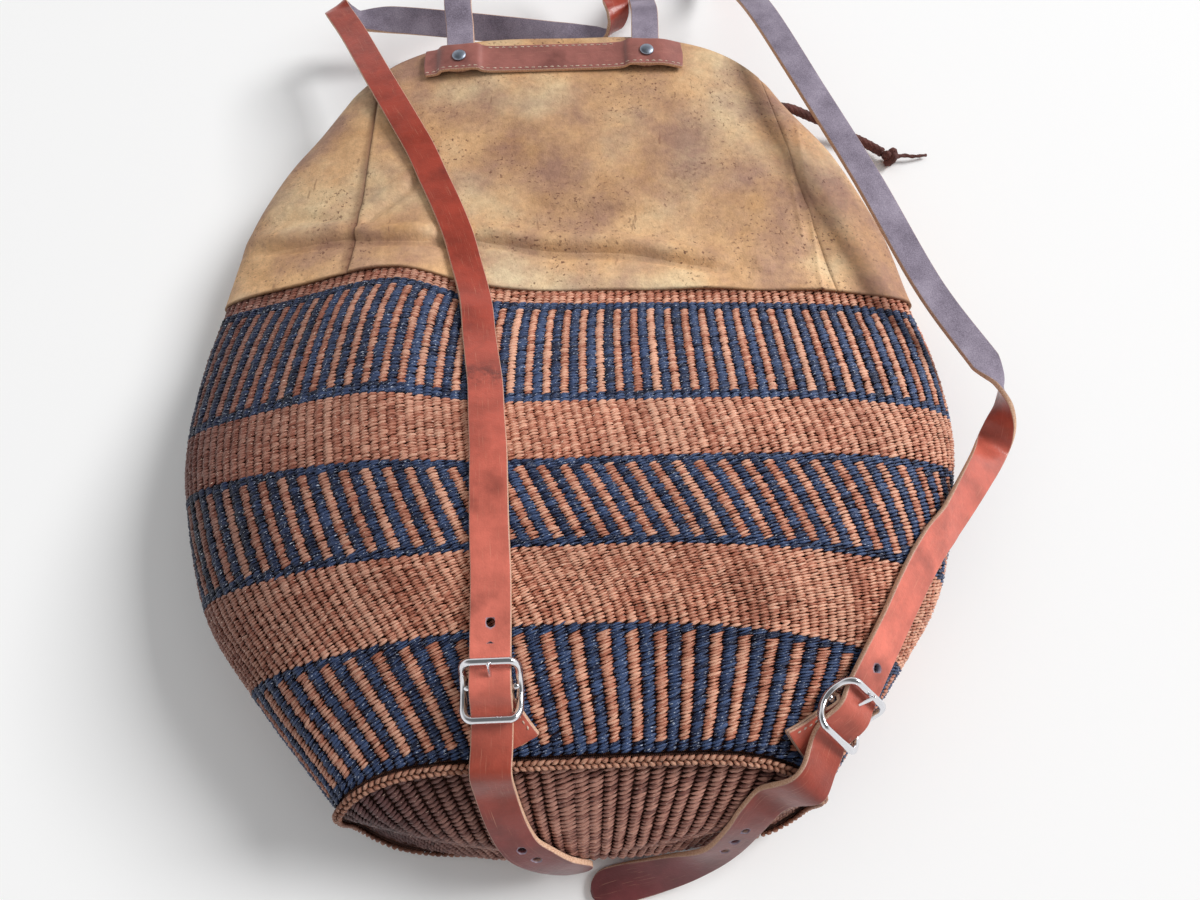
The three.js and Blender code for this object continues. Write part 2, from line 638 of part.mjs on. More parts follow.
function buckleProng() {
  const half = PRONG_EYE_WIDTH / 2;
  const eye = new THREE.LatheGeometry(hoop(EYE_INNER, EYE_OUTER, -half, half), 14);
  const start = (EYE_INNER + EYE_OUTER) / 2;
  const shank = stem(STEM_ANGLE, PRONG_DIAMETER / 2, PRONG_TIP_DIAMETER / 2, start, STEM_LENGTH);
  return join(eye, [shank]);
}

// The room that the prong sweeps through the strap, from rocked back to fully lifted.
function prongSweep(seat) {
  const radius = PRONG_DIAMETER / 2 + RUNNING_GAP;
  const most = BUCKLE_ROCK + 1;
  const turns = stepsTo(4, (f) => THREE.MathUtils.degToRad(mix(-most, PRONG_LIFT + most, f)));
  const swept = (turn) => stem(STEM_ANGLE + turn, radius, radius, EYE_INNER, STEM_LENGTH);
  return turns.map((turn) => swept(turn).applyMatrix4(seat));
}

// An anchor tab: a strip that lies on the sack, folds round the centre bar and comes back over itself.
function anchorTab(spec, seat) {
  const { x: hx, y: hy } = new THREE.Vector3().setFromMatrixColumn(seat, 0);
  const lying = (back, out) => {
    const drift = spec.tabDrift * (back / TAB_LENGTH) ** 3;
    const { v, a } = topPlace(spec.x - hx * back + hy * drift, spec.y - hy * back - hx * drift);
    const n = seatOut(seat).lerp(skinNormal(v, a), back / TAB_LENGTH).normalize();
    const width = THREE.MathUtils.lerp(TAB_WIDTH, TAB_END_WIDTH, (back / TAB_LENGTH) ** 2);
    return { p: offsetSkin(v, a, out), n, width };
  };
  const backs = [TAB_LENGTH, TAB_LENGTH * 0.67, TAB_LENGTH * 0.33];
  const low = backs.map((back) => lying(back, GAP + TAB_THICKNESS / 2));
  const high = backs.map((back) => lying(back, 2 * GAP + TAB_THICKNESS * 1.5)).reverse();
  const radius = BUCKLE_WIRE / 2 + RUNNING_GAP + TAB_THICKNESS / 2;
  const bend = [-90, -45, 0, 45, 90].map((degrees) => {
    const angle = THREE.MathUtils.degToRad(degrees);
    const way = new THREE.Vector3(Math.cos(angle), 0, Math.sin(angle));
    const p = way.clone().multiplyScalar(radius).applyMatrix4(seat);
    return { p, n: way.transformDirection(seat).negate() };
  });
  const back = high.map(({ p, n, width }) => ({ p, n: n.negate(), width }));
  const strip = band([...low, ...bend, ...back], TAB_WIDTH, TAB_THICKNESS, 3);
  const slotLength = 2 * (EYE_OUTER + RUNNING_GAP);
  const slot = new THREE.BoxGeometry(2 * slotLength, PRONG_EYE_WIDTH + 2 * RUNNING_GAP, 2 * slotLength);
  slot.translate(slotLength / 2, 0, 0).applyMatrix4(seat);
  return cut(strip, [slot]);
}

// Guides for the straps: on the sack, in the air, round a fold, and through a buckle
function onSack(x, y, extra = 0, face = 1) {
  const { v, a } = topPlace(x, y);
  const cover = v > COLLAR_SECTION_NUMBER - 1 ? COLLAR_OUT : 0;
  const out = cover + STRAP_LIFT + STRAP_THICKNESS / 2 + extra;
  return { p: offsetSkin(v, a, out), n: skinNormal(v, a).multiplyScalar(face) };
}

function inAir([x, y, z, nx, ny, nz]) {
  return { p: new THREE.Vector3(x, y, z), n: new THREE.Vector3(nx, ny, nz).normalize() };
}

// A half turn round a level axis: the strap goes on along it as it turns over, with the given face outside.
function fold({ middle, headingAngle, advance, turn }, face) {
  const heading = THREE.MathUtils.degToRad(headingAngle);
  const axis = new THREE.Vector3(Math.cos(heading), Math.sin(heading), 0);
  const outward = new THREE.Vector3(axis.y, -axis.x, 0).multiplyScalar(turn);
  return [-1, -0.5, 0, 0.5, 1].map((share) => {
    const angle = (share * turn * Math.PI) / 2;
    const way = outward.clone().multiplyScalar(Math.cos(angle)).addScaledVector(UP, Math.sin(angle));
    const p = new THREE.Vector3(...middle).addScaledVector(way, FOLD_RADIUS);
    p.addScaledVector(axis, advance * share / 2);
    return { p, n: way.multiplyScalar(face) };
  });
}

// Over the twined row at angle a, and on the base at radius share r.
function overTwine(a, extra) {
  const { outer, mitre } = baseCorner(a);
  const out = 3 * GAP + TWINE_DIAMETER + STRAP_THICKNESS / 2 + STRAP_LIFT + extra;
  return { p: outer.addScaledVector(mitre, out), n: mitre };
}

function onBase(r, a) {
  const n = baseNormal(r, a);
  return { p: basePoint(r, a).addScaledVector(n, STRAP_LIFT + STRAP_THICKNESS / 2), n };
}

function underYoke(x) {
  return [-STRAP_END, 0, YOKE_WIDTH / 2].map((along) => onSack(x, YOKE_Y + along, 0, -1));
}

function throughBuckle(seat) {
  const n = seatOut(seat);
  return [[END_REACH, STRAP_AT_ENDS], [0, STRAP_AT_BAR], [-END_REACH, STRAP_AT_ENDS]]
    .map(([x, z]) => ({ p: inSeat(seat, x, z), n: n.clone() }));
}

const TAB_STACK = 2 * TAB_THICKNESS + GAP;

const leftRing = sectionAngle(LEFT_RING_X, 0);
const rightRing = sectionAngle(RIGHT_RING_X, 0);
const leftTail = LEFT_TAIL.map(inAir);
const rightTail = RIGHT_TAIL.map(inAir);

const LEFT_ROUTE = [
  ...underYoke(LEFT_RIVET_X),
  ...LEFT_RISE.map(inAir),
  ...fold(LEFT_FOLD, 1),
  ...LEFT_CROSS.map(inAir),
  ...fold(LEFT_CORNER, 1),
  ...LEFT_FALL.map(inAir),
  ...LEFT_LIE.map((place) => onSack(...place)),
  ...throughBuckle(leftSeat),
  onSack(...LEFT_TAIL_FOOT, TAB_STACK),
  overTwine(leftRing, LEFT_TAIL_RISE),
  ...LEFT_BASE.map(([share, angle]) => onBase(share, THREE.MathUtils.degToRad(angle))),
  ...leftTail,
];

const RIGHT_ROUTE = [
  ...underYoke(RIGHT_RIVET_X),
  ...RIGHT_RISE.map(inAir),
  ...fold(RIGHT_FOLD, -1),
  ...RIGHT_FALL.map(inAir),
  ...RIGHT_LIE.map((place) => onSack(...place)),
  ...throughBuckle(rightSeat),
  onSack(...RIGHT_TAIL_FOOT, TAB_STACK + RIGHT_FOOT_RISE),
  overTwine(rightRing, RIGHT_TAIL_RISE),
  ...RIGHT_BASE.map(([share, angle]) => onBase(share, THREE.MathUtils.degToRad(angle))),
  ...rightTail,
];

// A place on the straight way between two guides.
function between(first, second, share) {
  return { p: first.p.clone().lerp(second.p, share), n: first.n.clone().lerp(second.n, share).normalize() };
}

// Punched holes: a rod through the band at a guide's place, square to its face.
function punch({ p, n }, diameter) {
  const half = n.clone().setLength(3 * STRAP_THICKNESS);
  return rod(p.clone().sub(half), p.clone().add(half), diameter / 2);
}

function strap(route, seat, rivetX, holes) {
  const body = band(route, STRAP_WIDTH, STRAP_THICKNESS, 2);
  const punched = holes.map((guide) => punch(guide, STRAP_HOLE));
  return cut(body, [...prongSweep(seat), rivetHole(rivetX), ...punched]);
}

// Yoke strip and rivets
function yokePlace(x) {
  const { v, a } = topPlace(x, YOKE_Y);
  return { p: skin(v, a), n: skinNormal(v, a) };
}
const YOKE_LOW = COLLAR_OUT + GAP + YOKE_THICKNESS / 2;
const YOKE_HIGH = COLLAR_OUT + STRAP_LIFT + STRAP_THICKNESS + GAP + YOKE_THICKNESS / 2;

function rivetHole(x) {
  const { p, n } = yokePlace(x);
  const inside = p.clone().addScaledVector(n, -WALL);
  const outside = p.clone().addScaledVector(n, 4 * WALL);
  return rod(inside, outside, RIVET_POST_DIAMETER / 2 + GAP);
}

function yokeStrip() {
  const ramp = STRAP_WIDTH / 2 + YOKE_RAMP;
  const over = (x) => [[x - ramp, 1], [x, 1], [x + ramp, 1]];
  const marks = [
    [YOKE_LEFT, 0.2], [LEFT_RIVET_X - ramp - YOKE_STEP / 2, 0.35], ...over(LEFT_RIVET_X),
    [LEFT_RIVET_X + ramp + YOKE_STEP, 0.2], [(LEFT_RIVET_X + RIGHT_RIVET_X) / 2, 0],
    [RIGHT_RIVET_X - ramp - YOKE_STEP, 0.2], ...over(RIGHT_RIVET_X), [YOKE_RIGHT, 0.35],
  ];
  const guides = marks.map(([x, share]) => {
    const { p, n } = yokePlace(x);
    return { p: p.addScaledVector(n, mix(YOKE_LOW, YOKE_HIGH, share)), n };
  });
  const strip = band(guides, YOKE_WIDTH, YOKE_THICKNESS, 3);
  return cut(strip, [rivetHole(LEFT_RIVET_X), rivetHole(RIGHT_RIVET_X)]);
}

function turned(profile, { p, n }) {
  const geometry = new THREE.LatheGeometry(profile, 14);
  geometry.applyQuaternion(new THREE.Quaternion().setFromUnitVectors(AXIS, n));
  return geometry.translate(p.x, p.y, p.z);
}

function rivet(x) {
  const seat = YOKE_HIGH + YOKE_THICKNESS / 2 + GAP;
  const edge = seat + RIVET_CAP_EDGE;
  const cap = RIVET_CAP_DIAMETER / 2;
  const post = RIVET_POST_DIAMETER / 2;
  const end = -BURR_THICKNESS - RIVET_PEEN;
  const rise = (share) => edge + share * (RIVET_CAP_HEIGHT - RIVET_CAP_EDGE);
  const dome = [0.25, 0.5, 0.75].map((share) => [cap * Math.sqrt(1 - share * share), rise(share)]);
  const profile = [[0, end], [post, end], [post, seat], [cap, seat], [cap, edge], ...dome, [0, rise(1)]];
  return turned(profile.map(([r, h]) => new THREE.Vector2(r, h)), yokePlace(x));
}

function burr(x) {
  return turned(hoop(RIVET_POST_DIAMETER / 2 + GAP, BURR_DIAMETER / 2, -BURR_THICKNESS, 0), yokePlace(x));
}

// Materials
const sisal = new THREE.MeshStandardMaterial({ color: 0x9c6a55, roughness: 0.9 });
const twine = new THREE.MeshStandardMaterial({ color: 0xb98a6c, roughness: 0.9 });
const hide = new THREE.MeshStandardMaterial({ color: 0xcda77f, roughness: 0.75 });
const leather = new THREE.MeshStandardMaterial({ color: 0xb45f42, roughness: 0.5 });
const yokeLeather = new THREE.MeshStandardMaterial({ color: 0x98604f, roughness: 0.6 });
const cord = new THREE.MeshStandardMaterial({ color: 0x6b4036, roughness: 0.8 });
const nickel = new THREE.MeshStandardMaterial({ color: 0xd0d0d4, roughness: 0.2, metalness: 1 });
const steel = new THREE.MeshStandardMaterial({ color: 0x7f8894, roughness: 0.4, metalness: 1 });

const backpack = new THREE.Group();

function add(name, geometry, material, seat) {
  const mesh = new THREE.Mesh(geometry, material);
  mesh.name = name;
  if (seat) mesh.applyMatrix4(seat);
  backpack.add(mesh);
}

add('basket_wall', sackWall(), sisal);
add('basket_base', sackBase(), sisal);
add('base_rim_twine', baseTwine(), twine);

const rivetHoles = [rivetHole(LEFT_RIVET_X), rivetHole(RIGHT_RIVET_X)];
add('collar_back_panel', cut(collarPanel(upperPanel, 16), rivetHoles), hide);
add('collar_left_panel', collarPanel(leftPanel, 10), hide);
add('collar_front_panel', collarPanel(lowerPanel, 12), hide);
add('collar_right_panel', collarPanel(rightPanel, 10), hide);

add('mouth_hem', mouthHem(), hide);
add('drawstring_hem_run', hemRun(), cord);
add('drawstring_free_end', freeCord(), cord);
add('drawstring_knot', cordKnot(), cord);
add('drawstring_tip', cordTip(), cord);

add('yoke_strip', yokeStrip(), yokeLeather);
for (const [side, x] of [['left', LEFT_RIVET_X], ['right', RIGHT_RIVET_X]]) {
  add(`${side}_rivet`, rivet(x), steel);
  add(`${side}_rivet_burr`, burr(x), steel);
}

const leftHoles = [...LEFT_HOLES.map((place) => onSack(...place)), leftTail[0], leftTail[1]];
const tailHoles = TAIL_HOLE_SHARES.map((share) => between(rightTail[0], rightTail[1], share));
const rightHoles = [...RIGHT_HOLES.map((place) => onSack(...place)), ...tailHoles];
add('left_shoulder_strap', strap(LEFT_ROUTE, leftSeat, LEFT_RIVET_X, leftHoles), leather);
add('right_shoulder_strap', strap(RIGHT_ROUTE, rightSeat, RIGHT_RIVET_X, rightHoles), leather);
for (const [side, spec, seat] of [['left', LEFT_BUCKLE, leftSeat], ['right', RIGHT_BUCKLE, rightSeat]]) {
  add(`${side}_anchor_tab`, anchorTab(spec, seat), leather);
  add(`${side}_buckle_frame`, buckleFrame(), nickel, seat);
  add(`${side}_buckle_prong`, buckleProng(), nickel, seat);
}

export default backpack;
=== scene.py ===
# %% [markdown]
# A woven sisal sack with a hide collar and leather shoulder straps, lying on its front.
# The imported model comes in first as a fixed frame. Every piece made here is in the same frame, in metres,
# and stands for one of its solids or sits on one.

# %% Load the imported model
import math

import bpy
import numpy as np
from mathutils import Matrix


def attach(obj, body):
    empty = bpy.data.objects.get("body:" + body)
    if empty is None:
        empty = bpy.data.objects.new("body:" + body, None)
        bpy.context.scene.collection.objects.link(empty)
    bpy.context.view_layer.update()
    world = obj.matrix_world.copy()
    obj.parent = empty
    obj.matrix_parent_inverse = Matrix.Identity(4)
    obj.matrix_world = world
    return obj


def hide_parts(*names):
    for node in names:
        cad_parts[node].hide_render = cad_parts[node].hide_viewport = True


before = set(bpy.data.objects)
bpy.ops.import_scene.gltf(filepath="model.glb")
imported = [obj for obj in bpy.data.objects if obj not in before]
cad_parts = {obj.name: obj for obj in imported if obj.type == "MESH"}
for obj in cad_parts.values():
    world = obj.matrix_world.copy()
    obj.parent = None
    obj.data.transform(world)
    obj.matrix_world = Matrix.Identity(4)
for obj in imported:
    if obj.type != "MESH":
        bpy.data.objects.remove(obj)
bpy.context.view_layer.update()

# %% [markdown]
# All sizes below are in millimetres, as a maker would measure them, and one factor turns them into metres.
# A piece is always arrays first: points, quads and triangles, a UV map and values for the material to read.
# Filling the mesh with whole arrays is quick, and it keeps the formula of each shape apart from the storing.

# %% A helper that stores arrays as a piece
MM = 0.001
chance = np.random.default_rng(41)


def add_object(name, data):
    """Put a mesh, a camera or a lamp into the scene."""
    made = bpy.data.objects.new(name, data)
    bpy.context.scene.collection.objects.link(made)
    return made


def store(name, points, quads=(), triangles=(), uv=None, values=None, finish=None, body="bag", slot=None,
          stands_for=()):
    """Store a piece: points in millimetres, faces as rows of indices, uv and values one row per point."""
    quads = np.asarray(quads, dtype=np.int32).reshape(-1, 4)
    triangles = np.asarray(triangles, dtype=np.int32).reshape(-1, 3)
    corners = np.concatenate([quads.ravel(), triangles.ravel()])
    starts = np.concatenate([4 * np.arange(len(quads)), quads.size + 3 * np.arange(len(triangles))])
    mesh = bpy.data.meshes.new(name)
    mesh.vertices.add(len(points))
    mesh.vertices.foreach_set("co", (np.asarray(points) * MM).astype(np.float32).ravel())
    mesh.loops.add(len(corners))
    mesh.loops.foreach_set("vertex_index", corners)
    mesh.polygons.add(len(starts))
    mesh.polygons.foreach_set("loop_start", starts.astype(np.int32))
    mesh.polygons.foreach_set("use_smooth", np.ones(len(starts), dtype=bool))
    if uv is not None:
        mesh.uv_layers.new(name="lie").data.foreach_set("uv", np.asarray(uv)[corners].astype(np.float32).ravel())
    for key, value in (values or {}).items():
        mesh.attributes.new(key, "FLOAT", "POINT").data.foreach_set("value", np.asarray(value, dtype=np.float32))
    mesh.update(calc_edges=True)
    mesh.validate()
    mesh.materials.append(finish)
    piece = add_object(name, mesh)
    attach(piece, body)
    if stands_for:
        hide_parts(*stands_for)
    print(name, "has", len(points), "points and", 2 * len(quads) + len(triangles), "triangles")
    return piece


def grid_quads(rows, columns, wrap_rows=False, wrap_columns=False):
    """Quads of a grid of points stored row by row: each joins a point to its next in both ways."""
    i = np.arange(rows if wrap_rows else rows - 1)[:, None]
    j = np.arange(columns if wrap_columns else columns - 1)[None, :]
    i2, j2 = (i + 1) % rows, (j + 1) % columns
    corners = [i * columns + j, i * columns + j2, i2 * columns + j2, i2 * columns + j]
    return np.stack(np.broadcast_arrays(*corners), -1).reshape(-1, 4)


def cap_fans(rows, sides):
    """Triangles that close both ends of a tube of rings. Two points, stored after the rings, are their middles."""
    k = np.arange(sides)
    after, end, middle = (k + 1) % sides, (rows - 1) * sides, np.full(sides, rows * sides)
    return np.vstack([np.stack([middle, after, k], -1), np.stack([middle + 1, end + k, end + after], -1)])


def folded_quads(rows, sides):
    """Quads of a closed strip of rings. Each ring goes out on one face and back on the other, and a strip across
    it closes the first and the last."""
    k = np.arange(sides // 2 - 1)
    strip = np.stack([k, sides - 1 - k, sides - 2 - k, k + 1], -1)
    return np.vstack([grid_quads(rows, sides, wrap_columns=True), strip, strip[:, ::-1] + (rows - 1) * sides])


def grid_lie(first, second):
    """UV of a grid of points stored row by row, from its values along the rows and along the columns."""
    return np.stack(np.meshgrid(first, second, indexing="ij"), -1).reshape(-1, 2)


def unit(vectors):
    """Vectors divided by their lengths."""
    vectors = np.asarray(vectors, dtype=float)
    return vectors / np.maximum(np.linalg.norm(vectors, axis=-1, keepdims=True), 1e-9)


def circle(count):
    """Angles evenly round a circle, without the last one, which is the first again."""
    return np.linspace(0, 2 * np.pi, count, endpoint=False)


def ease(x, low, high):
    """A smooth step from 0 at low to 1 at high: 3t squared less 2t cubed."""
    t = np.clip((x - low) / (high - low), 0, 1)
    return t * t * (3 - 2 * t)


def lengths_along(points):
    """Length of the way from the first of some points to each of them."""
    return np.concatenate([[0], np.cumsum(np.linalg.norm(np.diff(points, axis=0), axis=1))])


def smooth_through(given, i, t):
    """A smooth curve through rows of numbers, at share t of stretch i: a cubic, with slopes of half the chords."""
    p = np.concatenate([[2 * given[0] - given[1]], given, [2 * given[-1] - given[-2]]])
    a, b, c, d = p[i], p[i + 1], p[i + 2], p[i + 3]
    return b + 0.5 * t * (c - a + t * (2 * a - 5 * b + 4 * c - d + t * (3 * (b - c) + d - a)))


# %% [markdown]
# Finishes are node trees. These short helpers add a node, set its inputs and join it to what feeds it, so that
# each finish below reads as a list of its layers. Colours are written as they look, 0 to 255, and turned linear.

# %% Helpers for finishes


def tint(red, green, blue):
    """A colour as it looks on screen, 0 to 255, as linear red, green, blue and a full alpha."""
    share = np.array([red, green, blue]) / 255
    linear = np.where(share <= 0.04045, share / 12.92, ((share + 0.055) / 1.055) ** 2.4)
    return (*linear.tolist(), 1.0)


def add_node(tree, kind, inputs=None, **settings):
    """Add a node, with settings as its properties and inputs as numbers, colours or sockets to link."""
    made = tree.nodes.new(kind)
    for key, value in settings.items():
        setattr(made, key, value)
    for key, value in (inputs or {}).items():
        if isinstance(value, bpy.types.NodeSocket):
            tree.links.new(value, made.inputs[key])
        else:
            made.inputs[key].default_value = value
    return made


def blend_colour(tree, share, first, second, kind="MIX"):
    """Mix two colours by a share, which is a socket or a number."""
    made = add_node(tree, "ShaderNodeMix", data_type="RGBA", blend_type=kind)
    for index, value in ((0, share), (6, first), (7, second)):
        if isinstance(value, bpy.types.NodeSocket):
            tree.links.new(value, made.inputs[index])
        else:
            made.inputs[index].default_value = value
    return made.outputs[2]


def ramp(tree, share, stops):
    """A ramp through stops of a place and a colour. A number in its stead is a grey of that level."""
    made = add_node(tree, "ShaderNodeValToRGB", {"Fac": share})
    elements = made.color_ramp.elements
    while len(elements) < len(stops):
        elements.new(0.5)
    for element, (place, colour) in zip(elements, stops):
        element.position = place
        element.color = colour if isinstance(colour, tuple) else (colour, colour, colour, 1.0)
    return made.outputs["Color"]


def noise(tree, vector, scale, detail=4.0, roughness=0.55):
    """Cloudy noise at a scale in patches per metre, or per UV unit."""
    inputs = {"Vector": vector, "Scale": scale, "Detail": detail, "Roughness": roughness}
    return add_node(tree, "ShaderNodeTexNoise", inputs).outputs["Fac"]


def stretched(tree, vector, scale):
    """A vector scaled by its own amount each way, so that noise on it runs in streaks."""
    return add_node(tree, "ShaderNodeMapping", {"Vector": vector, "Scale": scale}).outputs["Vector"]


def axis_of(tree, vector, axis):
    """One of a vector's three numbers."""
    return add_node(tree, "ShaderNodeSeparateXYZ", {"Vector": vector}).outputs[axis]


def maths(tree, operation, first, second=0.5):
    """One step of arithmetic on sockets or numbers."""
    return add_node(tree, "ShaderNodeMath", {0: first, 1: second}, operation=operation).outputs[0]


def weighted(tree, *terms):
    """The sum of sockets, each times its weight."""
    total, *rest = [maths(tree, "MULTIPLY", socket, weight) for socket, weight in terms]
    for term in rest:
        total = maths(tree, "ADD", total, term)
    return total


def paint(tree, shader, colour):
    """Give the shader its colour."""
    tree.links.new(colour, shader.inputs["Base Color"])


def bump(tree, shader, height, strength, distance):
    """Give the shader a bump from a height between 0 and 1; distance is in metres."""
    made = add_node(tree, "ShaderNodeBump", {"Height": height, "Strength": strength, "Distance": distance})
    tree.links.new(made.outputs["Normal"], shader.inputs["Normal"])


def start_finish(name, roughness, specular=0.3):
    """Start a finish: its material, node tree, shader, Object coordinates and UV map."""
    material = bpy.data.materials.new(name)
    material.use_nodes = True
    tree = material.node_tree
    shader = tree.nodes["Principled BSDF"]
    shader.inputs["Roughness"].default_value = roughness
    shader.inputs["Specular IOR Level"].default_value = specular
    place = add_node(tree, "ShaderNodeTexCoord")
    return material, tree, shader, place.outputs["Object"], place.outputs["UV"]


def read_value(tree, name):
    """A value that the mesh stores at each point."""
    return add_node(tree, "ShaderNodeAttribute", attribute_name=name).outputs["Fac"]


# %% [markdown]
# The camera stands low over the base and looks down along the sack, as the photograph was taken.
# Its lens and place were found from the straps' width and from where the buckles, the rivets and the knot lie.

# %% Camera
FOCAL_PIXELS = 870
FRAME_WIDTH = 1200
EYE = np.array([8, -186, 504])
LOOK_DOWN = 65
LOOK_RIGHT = 2.2

camera_data = bpy.data.cameras.new("camera")
camera_data.sensor_width = 36
camera_data.lens = camera_data.sensor_width * FOCAL_PIXELS / FRAME_WIDTH
camera = add_object("camera", camera_data)
camera.location = EYE * MM
camera.rotation_euler = (math.radians(90 - LOOK_DOWN), 0, math.radians(-LOOK_RIGHT))
bpy.context.scene.camera = camera
print("lens", round(camera_data.lens, 2), "mm")

# %% [markdown]
# The sack's skin is one formula, the same one that shaped the solids. Ten sections from the base ring to the
# mouth each have a half width, a crown height and a place. A smooth curve through them gives any section
# between, and an angle gives the place round it. Weave, collar and straps are all laid on this skin.

# %% The sack's skin
STATIONS = {
    "side": [-165, -107, -63, 0, 40, 85, 125, 185, 245, 292],
    "half": [115, 165, 196, 216, 223, 223, 218, 208, 187, 158],
    "height": [86, 108, 112, 106, 94, 77, 64, 65, 67, 70],
    "lean": [18, 18, 11, -4, -2, -2, -2, 0, 14, 44],
    "dip": [-16, -6, 0, 0, 0, 0, 0, 0, 0, -6],
    "slant": [0, 0, 0, 0, 3, 9, 14, 10, 5, 0],
    "widest": [40, 44, 46, 46, 44, 40, 36, 36, 36, 35],
    "corner": [6, 2, 2, 2, 2, 2, 2, 2, 3, 4],
    "across": [0.5, 0.7, 0.75, 0.75, 0.75, 0.75, 0.75, 0.75, 0.75, 0.75],
    "crown": [0.55, 0.85, 1, 1, 1, 1, 1, 1, 1, 1],
}
LAST = 9
COLLAR_STATION = 6
COLLAR_OUT = 2.1
BASE_LIFT = 8
UNDERSIDE_PRESS = 6
UNDERSIDE_ROUND = 0.6
SWELL = {"x": -105, "y": 100, "left": 70, "right": 40, "length": 80, "rise": 15, "shift": 12}


def at_station(key, v):
    """One row of the stations as a smooth curve, at station v."""
    i = np.clip(np.floor(v), 0, LAST - 1).astype(int)
    return smooth_through(np.array(STATIONS[key], dtype=float), i, v - i)


def skin(v, a):
    """The skin at station v and angle a: x is the half width times a power of the cosine, z rises from the
    widest height to the crown by a power of the sine, and below it is pressed flat on the ground."""
    v, a = np.broadcast_arrays(np.clip(np.asarray(v, dtype=float), 0, LAST), np.asarray(a, dtype=float))
    at = {key: at_station(key, v) for key in STATIONS}
    cosine, sine = np.cos(a), np.sin(a)
    across = np.sign(cosine) * np.abs(cosine) ** at["across"]
    x = at["half"] * across
    reach = 1 - np.abs(across) ** at["corner"]
    low = BASE_LIFT * (1 - ease(v, 0, 0.8)) + COLLAR_OUT * ease(v, 5.3, 5.9)
    depth = (at["widest"] - low + UNDERSIDE_PRESS) * np.maximum(-sine, 0) ** UNDERSIDE_ROUND
    rise = np.maximum(sine, 0) ** at["crown"]
    y = at["side"] + at["slant"] * ((1 - across) / 2) ** 2 + np.where(sine < 0, at["dip"], at["lean"]) * reach
    side = (x - SWELL["x"]) / np.where(x > SWELL["x"], SWELL["right"], SWELL["left"])
    swell = rise * np.exp(-(side ** 2) - ((y - SWELL["y"]) / SWELL["length"]) ** 2)
    top = at["widest"] + (at["height"] - at["widest"]) * rise + SWELL["rise"] * swell
    z = np.where(sine < 0, np.maximum(low, at["widest"] - depth), top)
    return np.stack([x, y + SWELL["shift"] * swell, z], -1)


def skin_normal(v, a):
    """Outward normal: the cross product of the way along the sack and the way round it."""
    step = 0.02
    v, a = np.broadcast_arrays(np.asarray(v, dtype=float), np.asarray(a, dtype=float))
    along = skin(np.minimum(v + step, LAST), a) - skin(np.maximum(v - step, 0), a)
    return unit(np.cross(along, skin(v, a + step) - skin(v, a - step)))


def off_skin(v, a, out):
    """The skin moved out along its normal."""
    return skin(v, a) + skin_normal(v, a) * np.asarray(out, dtype=float)[..., None]


def even_angles(v, shares):
    """Angles at given shares of the way round the section at station v, measured along the skin. The skin turns
    quickest with the angle near the quarters, so the table is finest there."""
    quarter = np.pi / 4 * (1 - np.cos(np.pi * np.arange(450) / 450))
    fine = np.append((quarter + np.arange(4)[:, None] * np.pi / 2).ravel(), 2 * np.pi)
    lengths = lengths_along(skin(v, fine))
    return np.interp(np.asarray(shares) % 1, lengths / lengths[-1], fine)


def section_angle(x, v):
    """The angle on the upper side where the section at station v reaches x: the power of the cosine, undone."""
    across = np.clip(x / at_station("half", v), -1, 1)
    return np.arccos(np.sign(across) * np.abs(across) ** (1 / at_station("across", v)))


def top_place(x, y):
    """Station and angle on the upper side at plan position x, y, found by halving the stretch of stations."""
    low, high = 0.0, float(LAST)
    for _ in range(40):
        middle = (low + high) / 2
        if skin(middle, section_angle(x, middle))[1] < y:
            low = middle
        else:
            high = middle
    return low, section_angle(x, low)


print("the belly is", round(2 * float(skin(4.5, 0.0)[0])), "mm wide and",
      round(float(skin(2.0, np.pi / 2)[2])), "mm high")

# %% [markdown]
# The drawstring comes first among the pieces, because a cord has to keep its real length. It leaves the hem at
# the right of the mouth, runs over the collar's edge and down to the ground, and ends in a knot with a thin tail.
# A braid shows as rows of small lozenges, so the cord is a tube whose radius rises and falls both ways at once.

# %% Paths, frames and tubes
NO_TRIANGLES = np.zeros((0, 3), dtype=int)


def curve_through(points, step):
    """A smooth curve through points, sampled finely and then evened out: its points and the lengths to them."""
    given = np.asarray(points, dtype=float)
    u = np.linspace(0, len(given) - 1, 40 * len(given))
    i = np.minimum(u.astype(int), len(given) - 2)
    fine = smooth_through(given, i, (u - i)[:, None])
    lengths = lengths_along(fine)
    even = np.linspace(0, lengths[-1], max(4, round(lengths[-1] / step) + 1))
    return np.stack([np.interp(even, lengths, fine[:, k]) for k in range(3)], -1), even


def frames_along(path, closed=False):
    """Tangent, side and top at each point of a path. Each side is the last one made square to the new tangent,
    so the frame doesn't spin; on a closed path the spin left at the end is shared out."""
    if closed:
        tangent = unit(np.roll(path, -1, 0) - np.roll(path, 1, 0))
    else:
        tangent = unit(np.gradient(path, axis=0))
    start = np.cross(tangent[0], [0, 0, 1]) + np.cross(tangent[0], [0.01, 0.02, 0])
    sides = [unit(start)]
    for way in tangent[1:]:
        sides.append(unit(sides[-1] - way * (sides[-1] @ way)))
    side = np.array(sides)
    top = np.cross(side, tangent)
    if closed:
        last = unit(side[-1] - tangent[0] * (side[-1] @ tangent[0]))
        spin = np.arctan2(last @ top[0], last @ side[0])
        back = np.linspace(0, spin, len(path))[:, None]
        side, top = side * np.cos(back) - top * np.sin(back), side * np.sin(back) + top * np.cos(back)
    return tangent, side, top


